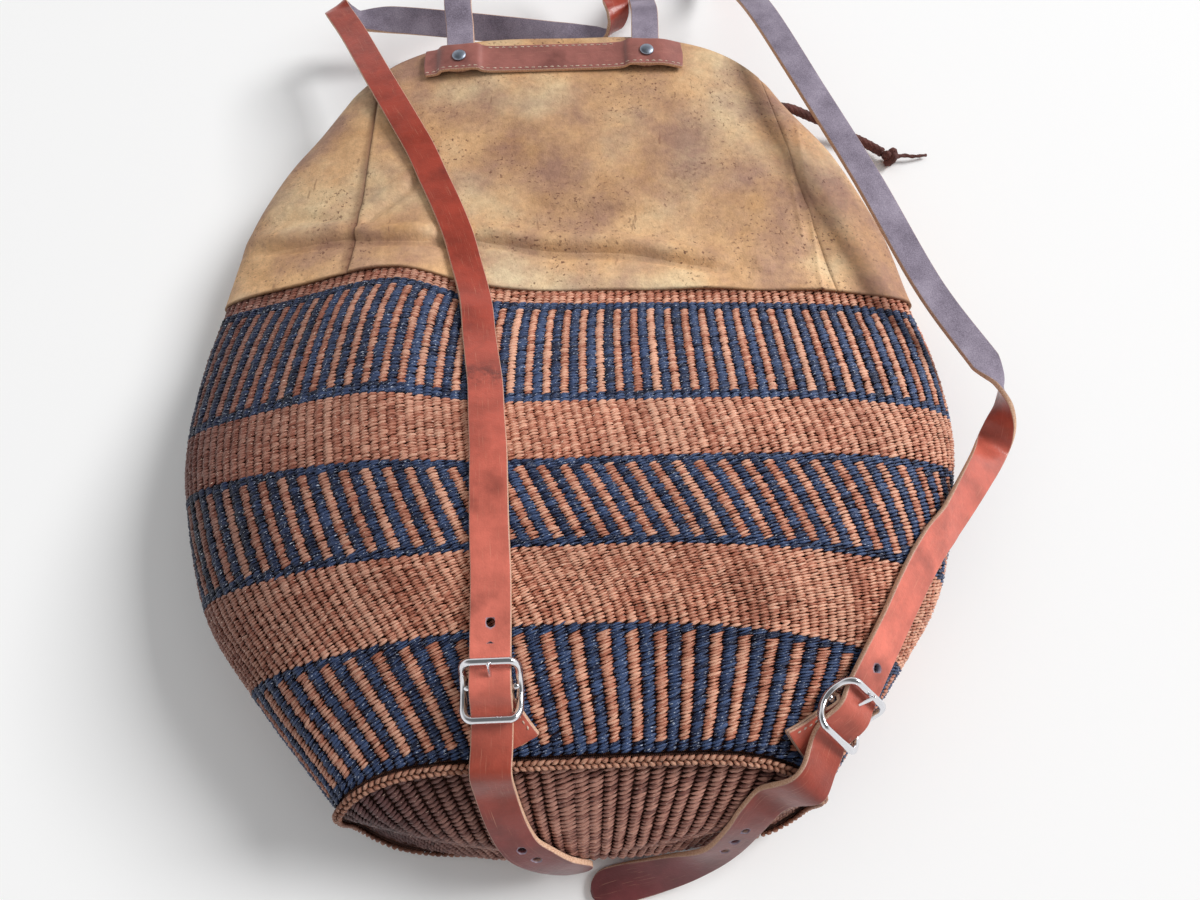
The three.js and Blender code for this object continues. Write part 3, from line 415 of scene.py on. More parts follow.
def tube(path, radius, sides, closed=False):
    """Rings of points round a path: path plus radius times cosine of side and sine of top. radius may be a
    number or one value for each point. Ends of an open tube close on a point."""
    _, side, top = frames_along(path, closed)
    turn = circle(sides)
    radius = np.broadcast_to(np.asarray(radius, dtype=float), (len(path), sides))[..., None]
    ring = np.cos(turn)[None, :, None] * side[:, None] + np.sin(turn)[None, :, None] * top[:, None]
    points = (path[:, None] + radius * ring).reshape(-1, 3)
    quads = grid_quads(len(path), sides, wrap_rows=closed, wrap_columns=True)[:, ::-1]
    if closed:
        return points, quads, NO_TRIANGLES
    return np.vstack([points, path[0], path[-1]]), quads, cap_fans(len(path), sides)[:, ::-1]


def braid_radius(lengths, sides, diameter, depth, strands, pitch):
    """Radius of a braid: half the diameter, less a depth where cosine round times cosine along is low."""
    turn = circle(sides)
    lozenges = np.cos(strands * turn)[None, :] * np.cos(2 * np.pi * np.asarray(lengths) / pitch)[:, None]
    return diameter / 2 - depth * (1 - lozenges) / 2


def braid_uv(lengths, sides, diameter, caps):
    """UV of a tube in millimetres: along it, then round it. The last rows are the points that cap its ends."""
    round_it = np.linspace(0, np.pi * diameter, sides, endpoint=False)
    uv = grid_lie(lengths, round_it)
    return np.vstack([uv, [[lengths[0], 0], [lengths[-1], 0]]]) if caps else uv


# %% [markdown]
# The cord is dark brown, worn paler on the tops of its strands. The finish reads the tube's own UV map: fine
# streaks follow the strands, and a slow noise makes some stretches darker than others.

# %% Finish of the drawstring


def cord_finish():
    """Dark brown braid: streaks in the UV map over slow patches, with a bump from the streaks."""
    material, tree, shader, place, uv = start_finish("drawstring_braid", 0.75)
    fibres = noise(tree, stretched(tree, uv, (0.9, 5.0, 1.0)), 1.0, 5.0)
    patches = noise(tree, place, 90.0, 3.0)
    strand = ramp(tree, fibres, [(0.3, tint(62, 34, 32)), (0.55, tint(112, 66, 60)), (0.78, tint(158, 108, 94))])
    wear_and_shade = ramp(tree, patches, [(0.35, 0.55), (0.7, 1.0)])
    paint(tree, shader, blend_colour(tree, 1.0, strand, wear_and_shade, "MULTIPLY"))
    bump(tree, shader, fibres, 0.5, 0.0004)
    return material


drawstring_braid = cord_finish()


def braided(name, path, lengths, sides, diameter, depth, node, strands=6, pitch=5.0, closed=False):
    """A braid along a path as a piece of the drawstring."""
    shell = tube(path, braid_radius(lengths, sides, diameter, depth, strands, pitch), sides, closed)
    return store(name, *shell, braid_uv(lengths, sides, diameter, not closed), finish=drawstring_braid,
                 slot="cord", stands_for=[node])


# %% Drawstring: free end, knot and tail
CORD_DIAMETER = 7.0
CORD_ROUTE = [
    (149.33, 294.02, 45.04), (151.12, 294.95, 42.43), (148.5, 293, 37.5), (147, 297, 31), (148, 306, 27),
    (157, 313, 25), (169, 315, 22), (184, 312, 17), (200, 307, 12.5), (214, 301, 8), (227, 294, 6),
    (238.04, 283.65, 6.55),
]
KNOT_PLACE = np.array([243, 279, 6.8])
TIP_WAY = unit(np.array([272, 283, 3]) - KNOT_PLACE)
TIP_LENGTH = 30
TIP_DIAMETER = 3.5
TIP_SWAY = [(5, 0), (12, 0.8), (19, -0.4), (TIP_LENGTH, 0.3)]
TIP_SIDES = 16
TIP_TWIST = 6
CORD_STEP = 0.5
KNOT_DIAMETER = 5.2
KNOT_POINTS = 180
KNOT_LENGTH = 62

cord_path, cord_lengths = curve_through(CORD_ROUTE, CORD_STEP)
free_end = braided("drawstring_cord", cord_path, cord_lengths, sides=36, diameter=CORD_DIAMETER, depth=0.55,
                   node="drawstring_free_end")


def knot_path(width, height, count):
    """A threefold knot: a circle of radius two that turns twice while another of radius one turns once, and a
    sine of three turns lifts its crossings."""
    t = circle(count)
    loops = np.stack([np.sin(t) + 2 * np.sin(2 * t), np.cos(t) - 2 * np.cos(2 * t), -np.sin(3 * t)], -1)
    return loops * np.array([width / 6, width / 6, height / 2])


knot_loops = KNOT_PLACE + knot_path(width=8.4, height=6.4, count=KNOT_POINTS)
cord_knot = braided("drawstring_knot_tied", knot_loops, np.linspace(0, KNOT_LENGTH, KNOT_POINTS), sides=20,
                    diameter=KNOT_DIAMETER, depth=0.4, node="drawstring_knot", strands=5, pitch=3.1, closed=True)

tail_route = [KNOT_PLACE + TIP_WAY * reach + np.array([0, sway, 0]) for reach, sway in TIP_SWAY]
tail_path, tail_lengths = curve_through(tail_route, CORD_STEP)
taper = np.linspace(TIP_DIAMETER / 2, TIP_DIAMETER / 3, len(tail_path))[:, None]
twist = 2 * circle(TIP_SIDES) + 2 * np.pi * tail_lengths[:, None] / TIP_TWIST
cord_tail = store("drawstring_tail", *tube(tail_path, taper * (0.88 + 0.12 * np.cos(twist)), TIP_SIDES),
                  braid_uv(tail_lengths, TIP_SIDES, TIP_DIAMETER, True), finish=drawstring_braid, slot="cord",
                  stands_for=["drawstring_tip"])

print("the free end is", round(float(cord_lengths[-1])), "mm long")

# %% [markdown]
# The sack is twined: two strands of sisal twist past each other between upright ribs, row on row. What shows is a
# slanted stitch for every rib and row, so each stitch is modelled, as a small closed lozenge that bulges outwards.
# A grid of rows and columns on the skin gives the stitches their places, and all lozenges are made in one go.

# %% Stitches
STITCH_SIDES = 6
STITCH_RINGS = np.array([-0.56, 0.0, 0.56])
STITCH_GIRTH = np.array([0.64, 1.0, 0.64])
STITCH_ROUGH = 0.1


def stitch_faces(count):
    """Faces of many lozenges: each has an end point, its rings and another end point. Ends come after the rings
    in the numbers of a capped tube, so these are put in order."""
    rings, points = len(STITCH_RINGS), len(STITCH_RINGS) * STITCH_SIDES + 2
    order = np.append(np.arange(1, points - 1), [0, points - 1])
    first = (np.arange(count) * points)[:, None, None]
    quads, ends = order[grid_quads(rings, STITCH_SIDES, wrap_columns=True)], order[cap_fans(rings, STITCH_SIDES)]
    return (quads + first).reshape(-1, 4), (ends + first).reshape(-1, 3)


def stitches(name, middle, along, up, out, tone, finish, slot="sisal", stands_for=(), arch=1.1, floor=None):
    """Lozenges at the given middles. Half axes: along is its length, up its height and out its thickness. A ring
    at share s of the length is an ellipse, moved out by arch times one less s squared. Fibres are never quite
    even, so each point is put off a little by chance."""
    count = len(middle)
    turn = circle(STITCH_SIDES)
    s = np.concatenate([[-1.0], np.repeat(STITCH_RINGS, STITCH_SIDES), [1.0]])
    girth = np.concatenate([[0.0], np.repeat(STITCH_GIRTH, STITCH_SIDES), [0.0]])
    angle = np.concatenate([[0.0], np.tile(turn, 3), [0.0]])
    lift = (arch * (1 - s ** 2))[None, :, None] * unit(out)[:, None]
    points = (middle[:, None] + s[None, :, None] * along[:, None]
              + (girth * np.cos(angle))[None, :, None] * up[:, None]
              + (girth * np.sin(angle))[None, :, None] * out[:, None] + lift)
    points = points + chance.normal(0, STITCH_ROUGH, points.shape)
    if floor is not None:
        points[..., 2] = np.maximum(points[..., 2], floor)
    shift = chance.uniform(0, 400, (count, 1, 2))
    lie = np.stack([s[None] * np.linalg.norm(along, axis=1)[:, None], np.tile(angle, (count, 1))], -1) + shift
    quads, ends = stitch_faces(count)
    # Painted shade: core is highest at the middle of the stitch's outward top and falls to its ends and sides,
    # which the finish paints darker.
    core = (1 - s ** 2) * np.where(girth > 0, 0.45 + 0.55 * np.sin(angle), 0)
    values = {"tone": np.repeat(tone, len(s)), "core": np.tile(core, count)}
    return store(name, points.reshape(-1, 3), quads, ends, lie.reshape(-1, 2), values, finish, slot=slot,
                 stands_for=stands_for)


# %% [markdown]
# Sisal is a stiff, shiny leaf fibre. Close up, each stitch is a bundle of pale streaks over a dyed ground, and a
# few fibres catch the light. The finish takes the streaks from the stitch's own UV map, its dye from a tone
# that the mesh stores for each stitch, painted shade on its ends and sides from another stored value, and painted
# glints from a sharp noise. The left side is painted darker, as shade.

# %% Finishes of the sisal


def sisal_finish(name, dark, middle, pale, glint, glint_from, wear_and_shade=2.5):
    """Dyed fibre: a ramp on streaks gives the ground, each stitch's tone shifts it, its core is painted paler and
    its ends and sides darker as shade, the left side is painted darker as shade, and sharp noise adds painted
    glints."""
    material, tree, shader, place, uv = start_finish(name, 0.5, 0.35)
    tone, core = read_value(tree, "tone"), read_value(tree, "core")
    streaks = noise(tree, stretched(tree, uv, (0.28, 1.7, 1.0)), 1.0, 4.0, 0.65)
    # Painted shade: the core value makes each stitch paler at its top and darker at its ends and sides.
    level = weighted(tree, (streaks, 0.9), (tone, 0.42), (core, 0.3))
    ground = ramp(tree, level, [(0.42, dark), (0.78, middle), (1.0, pale)])
    patches = ramp(tree, noise(tree, place, 34.0, 3.0), [(0.3, 0.72), (0.65, 1.0)])
    dyed_and_painted_light = blend_colour(tree, 0.8, ground, patches, "MULTIPLY")
    # Painted shade: the left side, towards negative x, is darkened towards a grey lilac, most steeply on the base.
    across = axis_of(tree, place, "X")
    side = maths(tree, "ADD", maths(tree, "MULTIPLY", across, wear_and_shade), 0.6)
    painted_left_shade = ramp(tree, side, [(0.05, tint(128, 118, 132)), (0.5, 1.0)])
    left_shaded = blend_colour(tree, 1.0, dyed_and_painted_light, painted_left_shade, "MULTIPLY")
    # Painted glints: a sharp noise paints a few streaks in the glint colour.
    sparkle = noise(tree, stretched(tree, uv, (0.5, 1.7, 1.0)), 1.0, 1.0, 0.5)
    share = ramp(tree, sparkle, [(glint_from, 0.0), (glint_from + 0.05, 0.9)])
    paint(tree, shader, blend_colour(tree, share, left_shaded, glint))
    bump(tree, shader, streaks, 0.6, 0.0005)
    return material


brown_sisal = sisal_finish("brown_sisal", tint(96, 48, 39), tint(191, 116, 90), tint(242, 184, 155),
                           tint(250, 226, 206), glint_from=0.68)
navy_sisal = sisal_finish("navy_sisal", tint(8, 9, 22), tint(26, 35, 65), tint(70, 90, 130),
                          tint(214, 222, 234), glint_from=0.66)
base_sisal = sisal_finish("base_sisal", tint(62, 36, 34), tint(138, 88, 77), tint(200, 146, 128),
                          tint(230, 196, 176), glint_from=0.7, wear_and_shade=6.0)
twine_sisal = sisal_finish("twine_sisal", tint(84, 46, 36), tint(158, 104, 82), tint(206, 156, 130),
                           tint(236, 206, 184), glint_from=0.7)

# %% [markdown]
# The bands of the sack, from the base ring up: a striped band, a plain one, and so on to a few plain rows under
# the collar. Each line gives a name, whether the band is striped, its rows, the stations where it starts and ends,
# its columns and the width of its navy stitches. Where the sack widens the weaver put in more ribs. In the middle
# the columns lean: a twist shifts each row a little along the one below.

# %% Bands of the weave
BANDS = [
    ("low_stripes", True, 38, 0.05, 1.0, 112, 1.03),
    ("low_plain", False, 30, 1.0, 2.0, 156, 1.0),
    ("middle_stripes", True, 34, 2.0, 3.0, 146, 1.04),
    ("upper_plain", False, 23, 3.0, 3.9, 166, 1.0),
    ("upper_stripes", True, 42, 3.9, 5.8, 166, 1.08),
    ("rim_rows", False, 7, 5.8, 6.12, 166, 1.0),
]
BORDER_ROWS = 3
STITCH_SLANT = math.radians(20)
STITCH_SINK = 1.75
STITCH_THICK = 0.95
STITCH_LONG = 1.36
STITCH_HIGH = 1.22
MOST_HALF_ROW = 1.8
NAVY_OUT = 1.2
GROUND = 0.1
LEAN_AT = [0, 1, 2, 3, 3.9, 5.8, 6.2]
LEAN = [0, 0.013, 0.034, 0.063, 0.068, 0.06, 0.058]


def jitter(shape, amount):
    """Small even-handed differences from stitch to stitch."""
    return chance.normal(0, amount, shape)


def band_grid(rows, low, high, columns):
    """Station and angle of each stitch: rows evenly between two stations, columns evenly round each row. The
    columns lean most in the middle band, and more on the right than on the left, by shares of the way round."""
    v = low + (high - low) * (np.arange(rows) + 0.5) / rows
    even = (np.arange(columns)[None, :] + 0.5) / columns
    shares = even + np.interp(v, LEAN_AT, LEAN)[:, None] * (0.72 + 0.4 * np.cos(2 * np.pi * even))
    angles = np.stack([even_angles(station, share) for station, share in zip(v, shares)])
    return np.broadcast_to(v[:, None], angles.shape), angles, (high - low) / rows


def stitch_axes(v, a, columns, row_step):
    """Half axes of the stitches: half a column along the row and half a row up, both a little more so that they
    overlap, and turned by the slant."""
    turn, step = 0.004, 0.02
    around = skin(v, a - turn) - skin(v, a + turn)
    upward = skin(np.minimum(v + step, LAST), a) - skin(np.maximum(v - step, 0), a)
    rings = skin(v[:, :1], np.linspace(0, 2 * np.pi, 361)[None])
    circuits = np.linalg.norm(np.diff(rings, axis=1), axis=2).sum(1)
    half_length = (0.5 * circuits / columns)[:, None, None]
    half_height = np.linalg.norm(upward, axis=-1, keepdims=True) / (2 * step) * row_step / 2
    way, rise = unit(around), unit(upward)
    slant = STITCH_SLANT + jitter(v.shape, 0.07)[..., None]
    along = (way * np.cos(slant) + rise * np.sin(slant)) * half_length * STITCH_LONG
    up = (rise * np.cos(slant) - way * np.sin(slant)) * np.minimum(half_height, MOST_HALF_ROW) * STITCH_HIGH
    return along, up, skin_normal(v, a)


def weave_band(name, striped, rows, low, high, columns, navy_width):
    """One band: its grid, then a piece for the plain or brown stitches and one for the navy ones. The navy ones
    are wider by the given factor and the rest narrower by as much, and the wider ones stand further out."""
    v, a, row_step = band_grid(rows, low, high, columns)
    along, up, normal = stitch_axes(v, a, columns, row_step)
    middle = skin(v, a) - normal * (STITCH_SINK + jitter(v.shape, 0.12)[..., None])
    middle = middle + up * jitter(v.shape, 0.1)[..., None] + along * jitter(v.shape, 0.05)[..., None]
    size = 1 + jitter(v.shape, 0.08)[..., None]
    tone = 0.5 + 0.15 * jitter(v.shape, 1.0) + 0.1 * jitter((1, columns), 1.0) + 0.06 * jitter((rows, 1), 1.0)
    row, column = np.indices(v.shape)
    border = (row < BORDER_ROWS) | (row >= rows - BORDER_ROWS)
    navy = (striped & (border | (column % 2 == 0))).astype(bool)
    wide = np.where(navy, navy_width, 2 - navy_width)[..., None]
    middle = middle + normal * NAVY_OUT * (wide - 1)
    arrays = (middle, along * size * wide, up * size, normal * STITCH_THICK, tone)
    for key, finish in (("brown", brown_sisal), ("navy", navy_sisal)):
        chosen = navy if key == "navy" else ~navy
        if chosen.any():
            stitches(f"{name}_{key}", *[array[chosen] for array in arrays], finish, floor=GROUND)


for line in BANDS:
    weave_band(*line)

# %% [markdown]
# Behind the stitches the ribs and strands fill the wall. They are seen only as dark chinks between stitches and,
# through the mouth, as the woven inside. One closed shell stands for them and for the solid of the wall.

# %% Backing of the wall
RIM_STATION = 6.2
WALL = 5.0
BACKING_SINK = 2.6
BACKING_GROUND = 0.4
BACKING_LIE = (1.2, 1.05)


def backing_finish():
    """Dark fibre ground, with ribs and rows that follow the shell's UV map in columns and rows."""
    material, tree, shader, place, uv = start_finish("sisal_backing", 0.85, 0.2)
    wave = {"Vector": uv, "Scale": 1.0, "Distortion": 1.5, "Detail": 2.0, "Detail Scale": 2.0}
    rows = add_node(tree, "ShaderNodeTexWave", wave, bands_direction="Y").outputs["Fac"]
    columns = add_node(tree, "ShaderNodeTexWave", wave, bands_direction="X").outputs["Fac"]
    weave = maths(tree, "MULTIPLY", rows, columns)
    fibres = noise(tree, place, 700.0, 4.0)
    level = weighted(tree, (weave, 0.6), (fibres, 0.5))
    colours = [(0.15, tint(44, 28, 28)), (0.5, tint(96, 60, 48)), (0.9, tint(146, 100, 80))]
    paint(tree, shader, ramp(tree, level, colours))
    bump(tree, shader, weave, 0.8, 0.001)
    return material


sisal_backing = backing_finish()


def backing_lie(rows, columns):
    """UV of a backing in rows and columns of its weave."""
    return grid_lie(np.arange(rows) * BACKING_LIE[0], np.arange(columns) * BACKING_LIE[1])


def wall_shell(rows, columns):
    """A closed shell: the skin moved in by the sink, over the rim, and back along the wall's inner face."""
    stations = np.linspace(0, RIM_STATION, rows)
    shares = np.arange(columns) / columns
    angles = np.stack([even_angles(station, shares) for station in stations])
    v = np.broadcast_to(stations[:, None], angles.shape)
    outer = off_skin(v, angles, np.full(v.shape, -BACKING_SINK))
    inner = off_skin(v, angles, np.full(v.shape, -WALL))
    points = np.concatenate([outer, inner[::-1]]).reshape(-1, 3)
    points[:, 2] = np.maximum(points[:, 2], BACKING_GROUND)
    quads = grid_quads(2 * rows, columns, wrap_rows=True, wrap_columns=True)[:, ::-1]
    return points, quads, NO_TRIANGLES, backing_lie(2 * rows, columns)


store("wall_backing", *wall_shell(rows=64, columns=192), finish=sisal_backing, slot="sisal",
      stands_for=["basket_wall"])

# %% [markdown]
# The base is worked the same way, in rows on ribs. It is squashed, so that its ribs run almost side by side: they
# all point at one place below the ground, and each ends where it leaves the base. Rows keep their pitch, so they
# are counted from the ring inwards along each rib.

# %% Base
BASE_CENTRE = np.array([0, -172, 40])
BASE_DOME = 14
RIBS_MEET = np.array([0, -70])
BASE_COLUMNS = 76
BASE_PITCH = 1.95
BASE_ROWS = 76
BASE_EDGE = 0.995
BASE_SLANT = (0.92, 0.39)
BASE_LONG = 1.26
BASE_HIGH = 1.4
BASE_SINK = STITCH_SINK + 0.3
TWINE_OUT = 1.8


def base_point(r, a):
    """The base at share r from its middle to the ring at angle a: a straight line, domed by one less r squared."""
    r, a = np.broadcast_arrays(np.asarray(r, dtype=float), np.asarray(a, dtype=float))
    flat = BASE_CENTRE + (skin(0.0, a) - BASE_CENTRE) * r[..., None]
    return flat - np.stack([0 * r, BASE_DOME * (1 - r * r), 0 * r], -1)


def base_normal(r, a):
    """Outward normal of the base: the cross product of the way out and the way round."""
    out = base_point(np.asarray(r) + 0.01, a) - base_point(np.asarray(r) - 0.01, a)
    return unit(np.cross(out, base_point(r, a + 0.02) - base_point(r, a - 0.02)))


def base_place(x, z):
    """Share and angle of the base at x and z. The angle is where the ring lies in the same direction from the
    middle, and the share is the way out by the ring's."""
    fine = np.linspace(0, 2 * np.pi, 2881)
    ring = (skin(0.0, fine) - BASE_CENTRE)[:, [0, 2]]
    turn = np.unwrap(np.arctan2(ring[:, 1], ring[:, 0]))
    x, z = x - BASE_CENTRE[0], z - BASE_CENTRE[2]
    a = np.interp((np.arctan2(z, x) - turn[0]) % (2 * np.pi) + turn[0], turn, fine)
    return np.hypot(x, z) / np.interp(a, fine, np.hypot(ring[:, 0], ring[:, 1])), a


def on_rib(a, t):
    """Share and angle of the base at share t of the way along a straight rib, from the ring at angle a to the
    place where the ribs would meet."""
    ring = skin(0.0, a)[..., [0, 2]]
    flat = ring + (RIBS_MEET - ring) * t[..., None]
    return base_place(flat[..., 0], flat[..., 1])


def base_stitches():
    """Rows a fixed pitch apart, counted inwards from the ring along each rib for as long as it is on the base."""
    a = even_angles(0.0, (np.arange(BASE_COLUMNS) + 0.5) / BASE_COLUMNS)
    half = np.gradient(np.unwrap(a)) / 2
    length = np.linalg.norm(skin(0.0, a)[:, [0, 2]] - RIBS_MEET, axis=1)
    t = (np.arange(BASE_ROWS)[:, None] + 0.5) * BASE_PITCH / length
    kept = on_rib(np.broadcast_to(a, t.shape), t)[0] < BASE_EDGE
    a, half = (np.broadcast_to(value, t.shape)[kept] for value in (a, half))
    t = t[kept]
    around = base_point(*on_rib(a - half, t)) - base_point(*on_rib(a + half, t))
    outward = base_point(*on_rib(a, t - 0.02)) - base_point(*on_rib(a, t + 0.02))
    place = on_rib(a, t)
    normal = base_normal(*place)
    way, rise = unit(around), unit(outward)
    middle = base_point(*place) - normal * (BASE_SINK + jitter((len(t), 1), 0.12))
    cosine, sine = BASE_SLANT
    along = (way * cosine + rise * sine) * np.linalg.norm(around, axis=1, keepdims=True) / 2 * BASE_LONG
    up = (rise * cosine - way * sine) * BASE_PITCH / 2 * BASE_HIGH
    return middle, along, up, normal * STITCH_THICK, 0.5 + 0.17 * jitter(len(t), 1.0)


stitches("base_rows", *base_stitches(), base_sisal, arch=1.5, floor=GROUND)


def base_shell(rings, columns):
    """A closed dish: the base moved in for its outer face, and by the wall's thickness for its inner face. Its
    rim comes out to the core of the twine, so that no light shows between the two."""
    r = np.linspace(0.02, 1, rings)[:, None]
    a = even_angles(0.0, np.arange(columns) / columns)[None, :]
    normal = base_normal(np.minimum(r, 0.985), a)
    sink = np.where(r < 1, BACKING_SINK, -TWINE_OUT)[..., None]
    outer = base_point(r, a) - normal * sink
    inner = base_point(r, a) - normal * (sink + WALL - BACKING_SINK)
    points = np.concatenate([outer, inner[::-1]]).reshape(-1, 3)
    points = np.vstack([points, outer[0].mean(0), inner[0].mean(0)])
    quads = grid_quads(2 * rings, columns, wrap_columns=True)
    lie = np.vstack([backing_lie(2 * rings, columns), [[0, 0], [0, 0]]])
    return points, quads[:, ::-1], cap_fans(2 * rings, columns)[:, ::-1], lie


store("base_backing", *base_shell(rings=24, columns=140), finish=sisal_backing, slot="sisal",
      stands_for=["basket_base"])

# %% [markdown]
# A thick twine is sewn round the corner where wall and base meet. It reads as a plait: two rows of fat stitches
# that slant towards each other. Both rows stand on the bisector of the wall's and the base's normals.

# %% Twine round the base
TWINE_STITCHES = 176
TWINE_SLANT = 0.5
TWINE_APART = 1.2
TWINE_LONG = 1.45
TWINE_HIGH = 1.25
TWINE_THICK = 1.4


def corner_frames(a):
    """Place, way round, way up and way out at the corner of wall and base, at angle a."""
    out = unit(skin_normal(0.0, a) + base_normal(1.0, a))
    way = unit(skin(0.0, a - 0.01) - skin(0.0, a + 0.01))
    way = unit(way - out * np.sum(way * out, axis=-1, keepdims=True))
    return skin(0.0, a), way, np.cross(out, way), out


def twine_row(side, shift):
    """One row of the plait, above or below the corner's line, slanting up or down with the side."""
    a = even_angles(0.0, (np.arange(TWINE_STITCHES) + shift) / TWINE_STITCHES)
    place, way, up, out = corner_frames(a)
    circuit = lengths_along(skin(0.0, np.linspace(0, 2 * np.pi, 721)))[-1]
    half = 0.5 * circuit / TWINE_STITCHES * TWINE_LONG * (1 + jitter((TWINE_STITCHES, 1), 0.08))
    cosine, sine = math.cos(TWINE_SLANT), side * math.sin(TWINE_SLANT)
    middle = place + out * TWINE_OUT + up * side * TWINE_APART
    along, high = (way * cosine + up * sine) * half, (up * cosine - way * sine) * TWINE_HIGH
    return middle, along, high, out * TWINE_THICK, 0.5 + jitter(TWINE_STITCHES, 0.13)


rows = [np.concatenate(group) for group in zip(twine_row(1, 0.5), twine_row(-1, 0.0))]
stitches("base_twine_plait", *rows, twine_sisal, slot="twine", stands_for=["base_rim_twine"], arch=0.7)

# %% [markdown]
# The collar is four pieces of thin hide, sewn edge to edge at the seams and laid over the rim of the weave.
# An empty bag lies in folds: a long one across the back, short ones near the seams. Each fold is a valley along a
# line in plan, with a soft roll above it, and slow waves keep the rest from lying flat. Under the straps the
# rolls die out, because the leather presses on them.

# %% Folds of the collar
FOLDS = [
    ([(-205, 178), (-150, 171), (-121, 166), (-80, 166), (-40, 163), (21, 155), (82, 146), (110, 141)], 5.4, 7),
    ([(-150, 170), (-125, 183), (-99, 213), (-88, 244)], 2.4, 6),
    ([(-186, 196), (-160, 192), (-135, 186)], 2.0, 6),
    ([(142, 150), (150, 166), (168, 196), (160, 224)], 0.9, 5),
    ([(70, 190), (108, 204), (150, 224)], 1.4, 8),
    ([(-30, 226), (30, 240), (100, 262)], 1.5, 10),
    ([(-50, 262), (-10, 254), (46, 268)], 1.3, 8),
    ([(-30, 196), (14, 188), (74, 180)], 1.5, 7),
    ([(-16, 132), (30, 126), (80, 128)], 1.2, 7),
]
PRESSED_BY = [
    [(-128, 312), (-104, 262), (-84, 214), (-67, 166), (-57, 122), (-51, 85)],
    [(-94, 316), (84, 316)],
]
SEAM_RIDGES = [[(160, 268), (158, 200), (157, 150), (156, 116)], [(151, 262), (149, 205), (150, 165)]]


def way_to(path, x, y):
    """Distance in plan to the nearest stretch of a path, counted positive on its left."""
    best = np.full(np.shape(x), 1e9)
    for (ax, ay), (bx, by) in zip(path[:-1], path[1:]):
        length = (bx - ax) ** 2 + (by - ay) ** 2
        t = np.clip(((x - ax) * (bx - ax) + (y - ay) * (by - ay)) / length, 0, 1)
        distance = np.hypot(x - ax - t * (bx - ax), y - ay - t * (by - ay))
        signed = np.where((bx - ax) * (y - ay) - (by - ay) * (x - ax) < 0, -distance, distance)
        best = np.where(distance < np.abs(best), signed, best)
    return best


def bell(distance, width):
    """A bell curve of a distance: 1 at its middle, and falling with the square of the distance in widths."""
    return np.exp(-((distance / width) ** 2))


def fold_height(x, y, upper):
    """Height of the folds: each has a roll on the left of its line and a sharper valley on the right, as bell
    curves of the way to the line. Slow waves add to them. upper is 1 on the back of the bag and 0 below."""
    free = np.ones(np.shape(x))
    for path in PRESSED_BY:
        free = free * (1 - np.exp(-((way_to(path, x, y) / 17) ** 4)))
    waves = np.sin(x / 17 + y / 31) + np.sin(x / 41 - y / 15 + 1.3) + np.sin(x / 9.5 + y / 12 + 0.4) * 0.4
    height = 0.4 * waves * free - 0.3 * (1 - free)
    for path, depth, width in FOLDS:
        first, last = (np.hypot(x - end[0], y - end[1]) for end in (path[0], path[-1]))
        fade = 1 - bell(np.minimum(first, last), 16)
        wander = 1.5 * np.sin(x / 13 + y / 19 + depth * 7)
        d = (way_to(path, x, y) + wander) / width
        roll = np.exp(-((d - 0.9) ** 2) / 0.9)
        valley = np.exp(-((d + 0.35) ** 2) / 0.22)
        height = height + depth * fade * (0.75 * roll * (0.2 + 0.8 * free) - 0.7 * valley)
    for path in SEAM_RIDGES:
        d = way_to(path, x, y)
        height = height + free * (0.8 * bell(d, 1.6) - 0.3 * bell(d - 4.5, 2.5))
    return height * upper


# %% [markdown]
# Thin hide with the hair taken off is blotchy: yellow tan, with lilac and brown clouds, clusters of dark pores,
# scars and scratches, and a fine grain. Every layer is noise in Object coordinates, so no picture is needed. The
# mesh stores how near a point is to a cut edge or in a valley, and there the colour is painted darker as shade,
# most at the left seams, in the valleys and along the lower edge.

# %% Finish of the hide


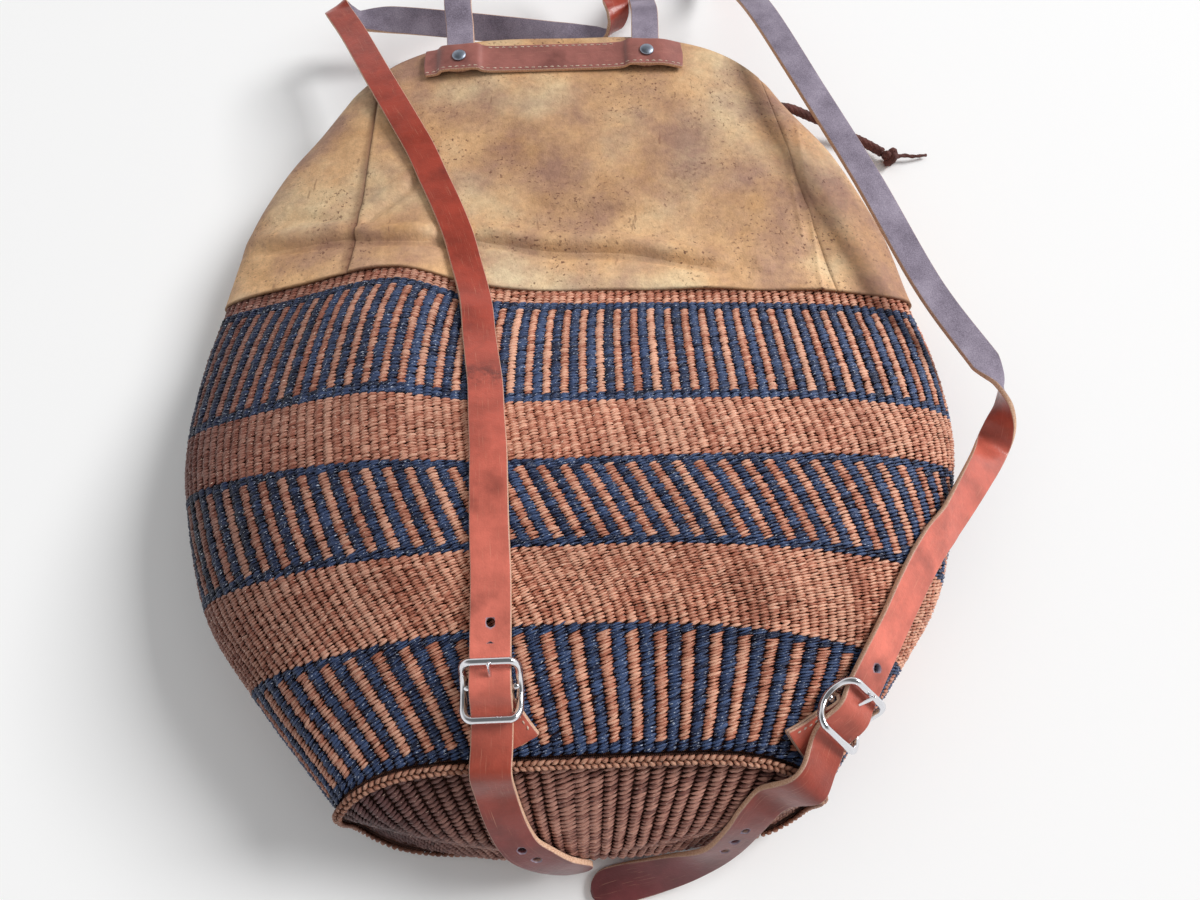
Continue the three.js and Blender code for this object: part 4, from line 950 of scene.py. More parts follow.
def hide_finish():
    """Tan ground, clouds, painted light low on the hide, pores in clusters, scratches, painted shade in the folds
    and at the edges, and a grain in the bump.
    """
    material, tree, shader, place, _ = start_finish("blotched_hide", 0.62, 0.3)
    ground = ramp(tree, noise(tree, place, 13.0, 5.0), [
        (0.3, tint(208, 155, 103)), (0.5, tint(246, 199, 149)), (0.7, tint(255, 232, 188))])
    bruise = ramp(tree, noise(tree, place, 17.0, 6.0, 0.62), [(0.42, 0.0), (0.64, 0.8)])
    clouds = blend_colour(tree, bruise, ground, tint(174, 132, 118))
    mottle = ramp(tree, noise(tree, place, 260.0, 6.0, 0.75), [(0.3, 0.66), (0.64, 1.0)])
    # Painted light: the hide is paler low, towards the rim, and a little darker towards the mouth.
    along = axis_of(tree, place, "Y")
    stretch = ramp(tree, maths(tree, "MULTIPLY", along, 3.0), [(0.4, 1.0), (0.56, tint(233, 231, 231))])
    low_lit_hide = blend_colour(tree, 1.0, clouds, stretch, "MULTIPLY")
    mottled = blend_colour(tree, 0.85, low_lit_hide, mottle, "MULTIPLY")
    cluster = ramp(tree, noise(tree, place, 22.0, 3.0), [(0.42, 0.05), (0.6, 1.0)])
    pores = ramp(tree, noise(tree, place, 430.0, 2.0), [(0.6, 0.0), (0.68, 0.8)])
    specks = maths(tree, "MULTIPLY", cluster, pores)
    speckled = blend_colour(tree, specks, mottled, tint(96, 58, 46))
    scratch_lie = stretched(tree, place, (150.0, 30.0, 60.0))
    scratches = ramp(tree, noise(tree, scratch_lie, 1.0, 3.0), [(0.69, 0.0), (0.73, 0.45)])
    scratched = blend_colour(tree, scratches, speckled, tint(120, 80, 60))
    # Painted shade: the stored value darkens the valleys, the seams and the collar's lower edge towards dark brown.
    dirt_and_shade = maths(tree, "MULTIPLY", read_value(tree, "dirt_and_shade"), 0.9)
    paint(tree, shader, blend_colour(tree, dirt_and_shade, scratched, tint(92, 54, 36)))
    grain = add_node(tree, "ShaderNodeTexVoronoi", {"Vector": place, "Scale": 900.0}).outputs["Distance"]
    lines = maths(tree, "ABSOLUTE", maths(tree, "SUBTRACT", noise(tree, place, 46.0, 5.0, 0.55), 0.5))
    creases = maths(tree, "ADD", noise(tree, place, 110.0, 7.0, 0.62), maths(tree, "MULTIPLY", lines, 2.4))
    dents = noise(tree, place, 26.0, 3.0)
    bump(tree, shader, weighted(tree, (grain, 0.12), (creases, 0.45), (dents, 1.6)), 0.5, 0.0022)
    return material


blotched_hide = hide_finish()

# %% Collar panels
COLLAR_STATIONS = np.linspace(COLLAR_STATION, LAST, 96)
SEAMS = {"back_left": (-133, -126), "back_right": (166, 140), "front_left": (-150, -120), "front_right": (150, 120)}
PANELS = [
    ("back", "back_right", "back_left", 0, 220),
    ("left", "back_left", "front_left", 0, 90),
    ("front", "front_left", "front_right", 0, 160),
    ("right", "front_right", "back_right", 1, 90),
]
LIP_END = 6.3
HIDE_INSIDE = 0.3


def seam_angle(key, v):
    """Angle of a seam at station v, from its place across at the rim and at the mouth."""
    first, last = SEAMS[key]
    angle = section_angle(first + (last - first) * (v - COLLAR_STATION) / (LAST - COLLAR_STATION), v)
    return angle if key.startswith("back") else 2 * np.pi - angle


def panel_shell(name, start, end, columns, node):
    """A closed shell between two seams: rows go from the rim to the mouth, columns from seam to seam. The outer
    face carries the folds, the inner face follows it, and the edges join the two."""
    f = np.linspace(0, 1, columns)[None, :]
    edge = np.minimum(f, 1 - f)
    a = start[:, None] + (end - start)[:, None] * f
    v = np.broadcast_to(COLLAR_STATIONS[:, None], a.shape)
    flat = skin(v, a)
    upper = ease(np.sin(a), -0.15, 0.35)
    height = fold_height(flat[..., 0], flat[..., 1], upper)
    lip = 0.7 * np.sin(flat[..., 0] / 11) * (1 - ease(v, COLLAR_STATION, LIP_END)) * upper
    chord = np.linalg.norm(flat[:, -1] - flat[:, 0], axis=1)[:, None]
    # dark is 1 at the left seams, which fall in shade, and 0.4 at the right ones: it deepens the groove and the
    # painted shade there.
    dark = np.where(np.cos(a) < 0, 1.0, 0.4)
    groove = 0.9 * dark * bell(edge * chord, 1.6)
    outer = off_skin(v, a, COLLAR_OUT + height + lip - groove)
    inner = off_skin(v, a, HIDE_INSIDE + np.maximum(height + lip, -0.2 * (v < LIP_END)))
    ring = np.concatenate([outer, inner[:, ::-1]], axis=1)
    faces = folded_quads(len(COLLAR_STATIONS), 2 * columns)
    width = np.linalg.norm(outer[:, -1] - outer[:, 0], axis=1)[:, None] + 1
    # Painted shade: darker by the seams, and along the lower edge at the rim as a shadow line; valleys deeper than
    # about a millimetre are darkened too.
    near = np.maximum(0.95 * dark * bell(edge * width, 0.9), 0.6 * bell(v - COLLAR_STATION, 0.02))
    dirt_and_shade = np.maximum(near, np.clip(-height - 0.9, 0, 3) / 7)
    dirt_and_shade = np.concatenate([dirt_and_shade, dirt_and_shade[:, ::-1]], axis=1)
    store(name, ring.reshape(-1, 3), faces[:, ::-1], values={"dirt_and_shade": dirt_and_shade.ravel()}, finish=blotched_hide,
          slot="hide", stands_for=[node])


for side, start, end, turns, columns in PANELS:
    first, last = seam_angle(start, COLLAR_STATIONS), seam_angle(end, COLLAR_STATIONS)
    panel_shell(f"hide_{side}", first - turns * 2 * np.pi, last, columns, f"collar_{side}_panel")

# %% [markdown]
# At the mouth the hide is turned in and sewn down over the drawstring, which makes a channel. The pull of the
# cord puckers it, so the channel's radius ripples along the edge. It stays open for a finger's width where the
# cord comes out, and the cord's run inside it can be seen there.

# %% Mouth hem and the cord in it
HEM_INNER = CORD_DIAMETER / 2 + 0.8
HEM_OUTER = HEM_INNER + 1.5
HEM_EDGE = 1.0
HEM_SEAT = 0.8
HEM_OPENING = 24
EXIT_ANGLE = math.radians(4)


def hem_frames(a):
    """Middle of the channel, way to the mouth and way out at angle a, a hem's reach below the collar's edge."""
    edge = skin(np.full(a.shape, float(LAST)), a)
    reach = np.linalg.norm(edge - skin(np.full(a.shape, LAST - 0.05), a), axis=-1) / 0.05
    v = LAST - (HEM_EDGE + HEM_OUTER) / reach
    out = skin_normal(v, a)
    return skin(v, a) - out * HEM_INNER, unit(edge - skin(v, a)), out


def hem_angles(count):
    """Angles evenly round the mouth, from one side of the cord's opening to the other, and the lengths there."""
    rim = np.linalg.norm(skin(LAST, EXIT_ANGLE + 0.05) - skin(LAST, EXIT_ANGLE - 0.05)) / 0.1
    half = HEM_OPENING / 2 / rim
    fine = np.linspace(EXIT_ANGLE + half, EXIT_ANGLE + 2 * np.pi - half, 2400)
    lengths = lengths_along(skin(LAST, fine))
    even = np.linspace(0, lengths[-1], count)
    return np.interp(even, lengths, fine), even


def mouth_hem(count):
    """A bent strip as a closed ring of points per angle: the outside of the channel, then back on its inside."""
    a, s = hem_angles(count)
    middle, along, out = hem_frames(a)
    pucker = 0.35 * np.sin(s / 3.1) + 0.25 * np.sin(s / 1.7 + 2)
    bends = np.linspace(0, np.pi, 11)
    seat = [HEM_INNER - HEM_SEAT]
    outside, inside = ([np.concatenate([[radius], radius * np.cos(bends), [-radius]]),
                        np.concatenate([seat, -radius * np.sin(bends), seat])] for radius in (HEM_OUTER, HEM_INNER))
    across, depth = (np.concatenate([there, back[::-1]]) for there, back in zip(outside, inside))
    swell = pucker[:, None] * np.maximum(-depth, 0)[None, :] / HEM_OUTER
    points = (middle[:, None] + across[None, :, None] * along[:, None]
              + (depth[None] - swell)[..., None] * out[:, None])
    return points.reshape(-1, 3), folded_quads(count, len(across))


points, quads = mouth_hem(count=420)
# The whole hem is darkened evenly by a quarter.
store("hide_hem", points, quads, values={"dirt_and_shade": np.full(len(points), 0.25)}, finish=blotched_hide,
      slot="hide", stands_for=["mouth_hem"])

run_angles, run_lengths = hem_angles(count=700)
braided("drawstring_in_hem", hem_frames(run_angles)[0], run_lengths, sides=20, diameter=CORD_DIAMETER, depth=0.5,
        node="drawstring_hem_run")

# %% [markdown]
# The straps are cut from one thickness of leather, so a strap is a band: a path, a width, a thickness and the way
# its smooth side faces. Each guide point gives a place and that facing. On the sack they come from the skin;
# in the air, where the strap loops and turns over, they are listed; through a buckle, from its seat.

# %% Guide points of the straps
STRAP_WIDTH = 19
STRAP_THICKNESS = 3
STRAP_LIFT = 1
TAB_LENGTH = 25
TAB_STACK = 4.3
TWINE_TOP = 5.9
BAR_LIFT = 4.35
HALF_LONG = 12.75
THROUGH_BUCKLE = [(HALF_LONG, 2.25), (0, 6.25), (-HALF_LONG, 2.25)]
YOKE_Y = 316
UNDER_YOKE = (-9, 0, 11.5)
RIVETS = {"left": -69, "right": 59}
BUCKLES = {
    "left": {"x": -38, "y": -113.6, "heading": (0.0, 1.0), "drift": 8},
    "right": {"x": 122.5, "y": -127.5, "heading": (0.6, 0.8), "drift": -3},
}


def buckle_seat(spec):
    """Seat of a buckle as columns up the strap, along its bar and out, and the middle of its bar. Its way out
    is between the skin's normals at the bar and at the end of its tab."""
    v, a = top_place(spec["x"], spec["y"])
    hx, hy = spec["heading"]
    tab_v, tab_a = top_place(spec["x"] - hx * TAB_LENGTH, spec["y"] - hy * TAB_LENGTH)
    out = unit(skin_normal(v, a) + skin_normal(tab_v, tab_a))
    up = np.array([hx, hy, 0.0])
    up = unit(up - out * (up @ out))
    return np.stack([up, np.cross(out, up), out], -1), skin(v, a) + out * BAR_LIFT


SEATS = {side: buckle_seat(spec) for side, spec in BUCKLES.items()}


def sack_guide(x, y, extra=0.0, face=1):
    """A guide point lying on the sack at plan place x, y, with its smooth side out or in."""
    v, a = top_place(x, y)
    normal = skin_normal(v, a)
    rise = (COLLAR_OUT if v > 5 else 0) + STRAP_LIFT + STRAP_THICKNESS / 2 + extra
    return skin(v, a) + normal * rise, normal * face


def on_sack(*rows):
    """Guide points on the sack, each given by its place in plan and the thickness of what lies under it."""
    return [sack_guide(*row) for row in rows]


def in_air(*rows):
    """Guide points given one by one, each with the way its smooth side faces."""
    return [(np.array(row[:3], dtype=float), unit(row[3:])) for row in rows]


def under_yoke(side):
    """Three guide points under the yoke strip, with the flesh side up."""
    return on_sack(*[(RIVETS[side], YOKE_Y + shift, 0, -1) for shift in UNDER_YOKE])


def fold(middle, axis, outward, radius, advance, turn, face):
    """Five guide points of a half turn round an axis in plan: the strap turns over and moves on along it."""
    middle = np.array(middle, dtype=float)
    axis = unit(np.array([*axis, 0.0]))
    outward = unit(np.array([*outward, 0.0]))
    points = []
    for share in (-1, -0.5, 0, 0.5, 1):
        angle = share * turn * math.pi / 2
        way = outward * math.cos(angle) + np.array([0, 0, math.sin(angle)])
        points.append((middle + way * radius + axis * advance * share / 2, way * face))
    return points


def over_twine(a, extra):
    """A guide point over the twine at the corner of wall and base."""
    place, _, _, out = corner_frames(np.array([a]))
    return [(place[0] + out[0] * (TWINE_TOP + STRAP_THICKNESS / 2 + STRAP_LIFT + extra), out[0])]


def on_base(*rows):
    """Guide points lying on the base, each given by a share of the way out and an angle in degrees."""
    places = [(r, math.radians(angle)) for r, angle in rows]
    return [(base_point(*place) + base_normal(*place) * (STRAP_LIFT + STRAP_THICKNESS / 2), base_normal(*place))
            for place in places]


def through_buckle(side):
    """Three guide points through a buckle: over its upper end, over the bar and over its lower end."""
    axes, middle = SEATS[side]
    return [(middle + axes @ np.array([x, 0, z]), axes[:, 2]) for x, z in THROUGH_BUCKLE]


# %% Routes of the straps
left_ring = float(section_angle(-39.0, 0.0))
right_ring = float(section_angle(100.0, 0.0))
LEFT_ROUTE = [
    *under_yoke("left"),
    *in_air((-70, 346, 76, 0, 0.4, -0.9), (-71, 364, 84, 0, 0.4, -0.9), (-68, 397, 97, 0, 0, -1),
            (-52, 438, 101, 0, -0.2, -1), (-24, 470, 92, -0.3, -0.9, -0.5), (2, 482, 74, -0.2, -1, 0),
            (24, 466, 59, 0, -0.5, 0.9), (38, 430, 55, 0, 0, 1)),
    *fold([35, 386, 46], [-0.69, -0.72], [0.72, -0.69], radius=9, advance=20, turn=-1, face=1),
    *in_air((2, 380, 37, 0, 0.6, -0.8), (-40, 388, 37, 0, 0.78, -0.63), (-90, 397, 37, 0, 0.78, -0.63),
            (-130, 404, 36, 0, 0.6, -0.8)),
    *fold([-160, 398, 45], [-0.62, -0.79], [-0.79, 0.62], radius=9, advance=16, turn=1, face=1),
    *in_air((-150, 362, 58, 0, 0, 1), (-128, 312, 66, 0, 0, 1)),
    *on_sack((-104, 262, 1.5), (-93, 238, 0.5), (-84, 214), (-75, 190), (-67, 166), (-62, 145), (-57, 122, 0.5),
             (-54, 105, 0.5), (-51, 85), (-48, 65), (-45, 45), (-43, 22), (-41, 0), (-40, -22), (-39, -45),
             (-38, -65), (-38, -82)),
    *through_buckle("left"),
    *on_sack((-38.5, -138, TAB_STACK)), *over_twine(left_ring, extra=0.8),
    *on_base((0.8, 100), (0.6, 105.5), (0.43, 116)),
    *in_air((-28.5, -181.5, 53.5, 0, -0.77, 0.63), (-22, -185.5, 47, 0, -0.82, 0.57),
            (-12, -189.5, 37, -0.1, -0.88, 0.45), (1, -191.5, 24, -0.1, -0.92, 0.35)),
]
RIGHT_ROUTE = [
    *under_yoke("right"),
    *in_air((60, 346, 75, 0, 0, -1), (61, 366, 69, 0, -0.4, -1), (62, 400, 50, 0, -0.5, -0.9),
            (64, 438, 28, -0.5, -0.2, -0.8), (74, 474, 16, -1, 0.2, -0.2), (98, 494, 14, -0.1, 1, 0),
            (124, 478, 18, 1, 0.3, -0.3), (134, 440, 38, 0.6, 0.3, -0.8), (138, 395, 60, 0.1, 0.3, -1),
            (146, 345, 76, 0, 0.2, -1), (165, 272, 82, -0.1, 0, -1), (191, 195, 79, -0.1, 0, -1),
            (218, 118, 70, -0.1, 0, -1)),
    *fold([244, 44, 54], [0, -1], [1, 0], radius=9, advance=48, turn=-1, face=-1),
    *in_air((227, 0, 60, 0.5, 0, 0.86)),
    *on_sack((196, -32, 2), (184, -46, 0.5), (173, -60), (163, -74), (153, -89)),
    *through_buckle("right"),
    *on_sack((108.5, -146, TAB_STACK + 1.2)), *over_twine(right_ring, extra=5),
    *on_base((0.86, 35), (0.76, 28)),
    *in_air((77, -177, 54, 0.14, -0.85, 0.5), (68, -186, 33, 0.15, -0.85, 0.5), (55, -191.5, 18, 0.1, -0.72, 0.68),
            (36, -196, 9.5, 0, -0.5, 0.86), (18, -199.5, 4.8, 0, -0.2, 0.98), (3, -203.5, 2.4, 0, 0, 1)),
]

# %% [markdown]
# The finish of the leather tells three surfaces apart by values in the mesh: the smooth grain side, dyed and
# varnished, the flesh side, a greyish suede, and the pale cut edges. Along the straps the colour is a dull reddish
# dye near the mouth and a brighter orange further down, painted paler there as a highlight, and the tails are
# painted darker as shade, with dark smudges and scratches from use.

# %% Finish of the leather


def leather_finish(name, dyes_and_painted_light, shine):
    """Grain, flesh and cut edge. The colour follows stops along the sack, from the tails to the mouth, which hold
    the dye and on the straps also painted shade and a painted highlight, with clouds, stains, a rubbed place and
    scratches on it."""
    material, tree, shader, place, uv = start_finish(name, 0.4, 0.45)
    grain, edge = read_value(tree, "grain"), read_value(tree, "edge")
    along = axis_of(tree, place, "Y")
    share = maths(tree, "ADD", maths(tree, "MULTIPLY", along, 2.4), 0.5)
    # The stops carry dye, and for the straps painted shade and a painted highlight too.
    dye_and_painted_light = ramp(tree, share, dyes_and_painted_light)
    clouds = ramp(tree, noise(tree, place, 60.0, 5.0, 0.6), [(0.3, 0.5), (0.64, 1.0)])
    dyed_and_painted_light = blend_colour(tree, 0.75, dye_and_painted_light, clouds, "MULTIPLY")
    stain = ramp(tree, noise(tree, place, 24.0, 4.0), [(0.57, 0.0), (0.7, 0.55)])
    from_rub = maths(tree, "ABSOLUTE", maths(tree, "SUBTRACT", along, 0.052))
    rub = ramp(tree, maths(tree, "MULTIPLY", from_rub, 40.0), [(0.1, 0.8), (0.5, 0.0)])
    rubbed = ramp(tree, noise(tree, place, 130.0, 5.0, 0.7), [(0.4, 0.0), (0.6, 1.0)])
    smudge = maths(tree, "MAXIMUM", stain, maths(tree, "MULTIPLY", rub, rubbed))
    smudged = blend_colour(tree, smudge, dyed_and_painted_light, tint(86, 40, 36))
    streaks = noise(tree, stretched(tree, uv, (0.05, 2.2, 1.0)), 1.0, 4.0)
    scratch = ramp(tree, streaks, [(0.62, 0.0), (0.7, 0.35)])
    smooth = blend_colour(tree, scratch, smudged, tint(232, 172, 142))
    fuzz = noise(tree, place, 1500.0, 4.0, 0.7)
    cloudy = weighted(tree, (fuzz, 0.6), (noise(tree, place, 45.0, 5.0, 0.6), 0.5))
    suede = ramp(tree, cloudy, [(0.4, tint(104, 95, 110)), (0.55, tint(142, 132, 148)), (0.7, tint(172, 162, 178))])
    faced = blend_colour(tree, grain, suede, smooth)
    cut = ramp(tree, fuzz, [(0.35, tint(190, 140, 112)), (0.65, tint(236, 200, 170))])
    paint(tree, shader, blend_colour(tree, edge, faced, cut))
    gloss = ramp(tree, grain, [(0.0, 0.92), (1.0, shine)])
    tree.links.new(gloss, shader.inputs["Roughness"])
    pebbles = add_node(tree, "ShaderNodeTexVoronoi", {"Vector": place, "Scale": 1100.0}).outputs["Distance"]
    relief = maths(tree, "ADD", maths(tree, "MULTIPLY", pebbles, 0.3), noise(tree, place, 240.0, 4.0))
    bump(tree, shader, relief, 0.3, 0.0006)
    return material


# The two darkest stops, at the tails, are painted shade; the pale pinkish one just above the buckles is painted
# paler as a highlight; the top one is the dull red dye.
strap_dyes_and_painted_light = [
    (0.04, tint(122, 60, 62)), (0.13, tint(164, 68, 50)), (0.25, tint(238, 130, 111)), (0.75, tint(168, 67, 50))]
strap_leather = leather_finish("strap_leather", strap_dyes_and_painted_light, shine=0.3)
yoke_dye = tint(164, 101, 92)
yoke_leather = leather_finish("worn_yoke_leather", [(0.0, yoke_dye), (1.0, yoke_dye)], shine=0.42)

# %% Bands of leather


def band_profile(width, thickness):
    """Outline of a band's section, from the smooth side round: place across, height, and shares of grain and
    edge. The second half of the way round is the first half turned over."""
    half, rise = width / 2, thickness / 2
    turn = min(0.55, thickness * 0.3)
    bends = np.radians([15, 45, 75, 105, 135, 165])
    flat = np.linspace(-half + turn, half - turn, 9)
    corner = np.where(bends < np.pi / 2, 1, -1) * (rise - turn)
    across = np.concatenate([flat, half - turn + turn * np.sin(bends)])
    height = np.concatenate([np.full(9, rise), corner + turn * np.cos(bends)])
    grain = np.array([1.0] * 9 + [0.9, 0.5, 0.2, 0, 0, 0] + [0] * 12 + [0.2, 0.5, 0.9])
    edge = np.tile([0.0] * 9 + [0.2, 0.7, 1.0, 1.0, 0.7, 0.2], 2)
    return np.concatenate([across, -across]), np.concatenate([height, -height]), grain, edge


def band_frames(route, step, smooth):
    """A band's path at even steps, the lengths to them, and the ways along it, across it and out of its smooth
    side. Its facing goes evenly between those of the guide points."""
    places, facings = (np.array(column) for column in zip(*route))
    path, lengths = curve_through(places, step)
    guides = [int(np.argmin(np.linalg.norm(path - place, axis=1))) for place in places]
    facing = unit(np.stack([np.interp(lengths, lengths[guides], facings[:, k]) for k in range(3)], -1))
    tangent = unit(np.gradient(path, axis=0))
    side = unit(np.cross(tangent, facing)) * smooth
    return path, lengths, tangent, side, np.cross(side, tangent)


def band(name, route, width, thickness, finish, slot, node, step=1.5, tips=(3.0, 9.0), smooth=1, flare=None):
    """A closed band along a route of places and facings: each section is the profile laid across the band and out
    of it. Both ends are rounded over the given tips. flare gives widths as shares of the given one, at even shares
    of the length."""
    path, lengths, _, side, up = band_frames(route, step, smooth)
    across, height, grain, edge = band_profile(width, thickness)
    left = np.minimum(lengths / tips[0], (lengths[-1] - lengths) / tips[1])
    narrow = np.sqrt(np.clip(1 - np.clip(1 - left, 0, 1) ** 2, 0.02, 1))
    if flare is not None:
        narrow = narrow * np.interp(lengths / lengths[-1], np.linspace(0, 1, len(flare)), flare)
    points = (path[:, None] + (across[None] * narrow[:, None])[..., None] * side[:, None]
              + height[None, :, None] * up[:, None])
    rows, sides = points.shape[:2]
    quads, caps = grid_quads(rows, sides, wrap_columns=True), cap_fans(rows, sides)
    lie = np.vstack([grid_lie(lengths, across), [[0, 0], [lengths[-1], 0]]])
    values = {"grain": np.append(np.tile(grain, rows), [0, 0]), "edge": np.append(np.tile(edge, rows), [1, 1])}
    points = np.vstack([points.reshape(-1, 3), path[0], path[-1]])
    return store(name, points, quads, caps, lie, values, finish, slot=slot, stands_for=[node])


def punch(piece, cutters):
    """Cut closed shapes out of a piece. The cut is worked out once and stored, and the cutting shapes go."""
    for cutter in cutters:
        tool = store("cutter", *cutter, finish=piece.data.materials[0])
        made = piece.modifiers.new("cut", "BOOLEAN")
        made.operation = "DIFFERENCE"
        made.solver = "EXACT"
        made.object = tool
        seen = piece.evaluated_get(bpy.context.evaluated_depsgraph_get())
        cut = bpy.data.meshes.new_from_object(seen)
        piece.modifiers.clear()
        piece.data = cut
        bpy.data.objects.remove(tool)


# %% [markdown]
# Holes are punched with a round punch, so a rod is cut out of the band at each of them. Both straps have spare
# holes above the buckle and more on the tail below it.

# %% Shoulder straps
HOLE_DIAMETER = 4.4
HOLE_DEPTH = 4


def between(first, second, share):
    """A guide point at a share of the way from one guide point to another."""
    place, facing = (a + (b - a) * share for a, b in zip(first, second))
    return place, unit(facing)


def hole_rod(place, facing):
    """A rod through the strap at a place, along the facing there."""
    return tube(place + facing * np.linspace(-HOLE_DEPTH, HOLE_DEPTH, 3)[:, None], HOLE_DIAMETER / 2, 24)


left_holes = [*on_sack((-38, -87), (-38, -97)), *LEFT_ROUTE[-4:-2]]
right_holes = on_sack((139, -108.5)) + [between(*RIGHT_ROUTE[-6:-4], share) for share in (0, 0.45, 0.9)]
for side, route, holes, tip in (("left", LEFT_ROUTE, left_holes, 7.0), ("right", RIGHT_ROUTE, right_holes, 10.0)):
    strap = band(f"{side}_strap", route, STRAP_WIDTH, STRAP_THICKNESS, strap_leather, "leather",
                 f"{side}_shoulder_strap", tips=(3.0, tip))
    punch(strap, [hole_rod(*guide) for guide in holes])

# %% [markdown]
# The yoke strip covers the straps' upper ends. It is one band across the back below the mouth, which climbs over
# each strap. It is sewn along its edges with a pale thread, and a rivet holds each strap end through it.

# %% Yoke strip
YOKE_MARKS = [
    (-94, 0.2), (-85, 0.35), (-80.5, 1), (-69, 1), (-57.5, 1), (-48.5, 0.2), (-5, 0), (38.5, 0.2), (47.5, 1),
    (59, 1), (70.5, 1), (84, 0.35),
]
YOKE_WIDTH = 23
YOKE_THICKNESS = 2.4
YOKE_LIFT = 3.6
YOKE_CLIMB = 4.0
YOKE_SEAM = YOKE_WIDTH / 2 - 2.0
THREAD_SINK = 0.15
THREAD_LONG = 0.4
THREAD_HIGH = 0.45
THREAD_THICK = 0.4


def yoke_place(x):
    """Skin and normal below the yoke at x."""
    v, a = top_place(x, YOKE_Y)
    return skin(v, a), skin_normal(v, a)


yoke_places = [(*yoke_place(x), YOKE_LIFT + YOKE_CLIMB * share) for x, share in YOKE_MARKS]
YOKE_ROUTE = [(place + normal * lift, normal) for place, normal, lift in yoke_places]
band("yoke_band", YOKE_ROUTE, YOKE_WIDTH, YOKE_THICKNESS, yoke_leather, "yoke_leather", "yoke_strip", step=1.0,
     tips=(1.2, 1.2))


def thread_finish():
    """Pale waxed thread with a faint twist in its UV map."""
    material, tree, shader, _, uv = start_finish("pale_thread", 0.7)
    twists = noise(tree, stretched(tree, uv, (1.5, 1.0, 1.0)), 1.0, 2.0)
    paint(tree, shader, ramp(tree, twists, [(0.3, tint(176, 150, 132)), (0.7, tint(236, 216, 198))]))
    return material


pale_thread = thread_finish()


def seam_on_band(name, route, thickness, offsets, pitch, slot, start, end, smooth=1):
    """A row of thread stitches on a band's smooth side, between two shares of its length. offsets gives its way
    from the middle line, at even shares of the length."""
    path, lengths, tangent, side, up = band_frames(route, 0.5, smooth)
    at = np.arange(lengths[-1] * start + pitch / 2, lengths[-1] * end - pitch / 2, pitch)
    pick = np.searchsorted(lengths, at)
    shift = np.interp(at / lengths[-1], np.linspace(0, 1, len(offsets)), offsets)[:, None]
    middle = path[pick] + side[pick] * shift + up[pick] * (thickness / 2 - THREAD_SINK)
    across = np.cross(up[pick], tangent[pick]) * THREAD_HIGH
    stitches(name, middle, tangent[pick] * pitch * THREAD_LONG, across, up[pick] * THREAD_THICK,
             np.full(len(at), 0.5), pale_thread, slot=slot, arch=0.2)


for row, offset, start, end in (("low", YOKE_SEAM, 0.0, 1.0), ("high", -YOKE_SEAM, 0.25, 0.75)):
    seam_on_band(f"yoke_seam_{row}", YOKE_ROUTE, YOKE_THICKNESS, [offset, offset], pitch=4.4,
                 slot="yoke_leather", start=start, end=end)

# %% [markdown]
# The metal pieces are smooth, so they are made round and fine here. Rivet caps are turned on a lathe: a profile
# swept round an axis. Buckle frames are bent from wire, so a tube follows a rounded rectangle, bowed up at its
# ends, with a straight bar across the middle. The prong is a tapered wire on an eye round that bar.

# %% Finishes of the metal


def metal_finish(name, colour, roughness, clouds):
    """Bare metal: one colour, with cloudy dullness from handling."""
    material, tree, shader, place, _ = start_finish(name, roughness, 0.5)
    shader.inputs["Metallic"].default_value = 1.0
    shader.inputs["Base Color"].default_value = colour
    dull = noise(tree, place, 160.0, 4.0)
    low, high = max(roughness - clouds, 0.04), roughness + clouds
    tree.links.new(ramp(tree, dull, [(0.35, low), (0.7, high)]), shader.inputs["Roughness"])
    return material


nickel = metal_finish("polished_nickel", tint(226, 226, 230), roughness=0.14, clouds=0.08)
steel = metal_finish("dull_steel", tint(150, 158, 172), roughness=0.42, clouds=0.12)

# %% Rivets
RIVET_SEAT = 9.1


def turned(profile, place, axis, sides):
    """A lathe: a profile of radius and height swept round an axis at a place. It starts and ends on the axis."""
    axis = unit(axis)
    side = unit(np.cross(axis, [0.3, 1.0, 0.2]))
    other = np.cross(axis, side)
    turn = circle(sides)
    ring = np.cos(turn)[:, None] * side + np.sin(turn)[:, None] * other
    radius, height = np.array(profile).T
    body = place + radius[1:-1, None, None] * ring[None] + height[1:-1, None, None] * axis
    points = np.vstack([body.reshape(-1, 3), place + axis * height[0], place + axis * height[-1]])
    return points, grid_quads(len(body), sides, wrap_columns=True), cap_fans(len(body), sides)


cap_bends = np.linspace(0, np.pi / 2, 9)[:-1]
RIVET_PROFILE = [(0, -2.0), (1.6, -2.0), (1.6, RIVET_SEAT), (4.4, RIVET_SEAT), (4.75, RIVET_SEAT + 0.25)]
RIVET_PROFILE += [(4.8 * math.cos(b), RIVET_SEAT + 0.6 + 1.6 * math.sin(b)) for b in cap_bends]
RIVET_PROFILE += [(0, RIVET_SEAT + 2.2)]
for side, x in RIVETS.items():
    store(f"{side}_rivet_turned", *turned(RIVET_PROFILE, *yoke_place(x), 48), finish=steel, slot="steel",
          stands_for=[f"{side}_rivet"])
    burr_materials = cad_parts[f"{side}_rivet_burr"].data.materials
    burr_materials.clear()
    burr_materials.append(steel)

# %% Buckles and prongs
WIRE = 3.5
WIRE_SIDES = 20
HALF_WIDE = 12.75
CORNER = 4.25
END_RISE = 7.5
PRONG_OVER_END = 3.25
PRONG_PAST_END = 3
PRONG_ROOT = 2.9
PRONG_ROUNDING = np.array([0.77, 0.37, 0.12, 0.0])
PRONG_GIRTH = [0.2, 0.55, 0.8, 0.9, 1.2]
EYE_TURNS = 40


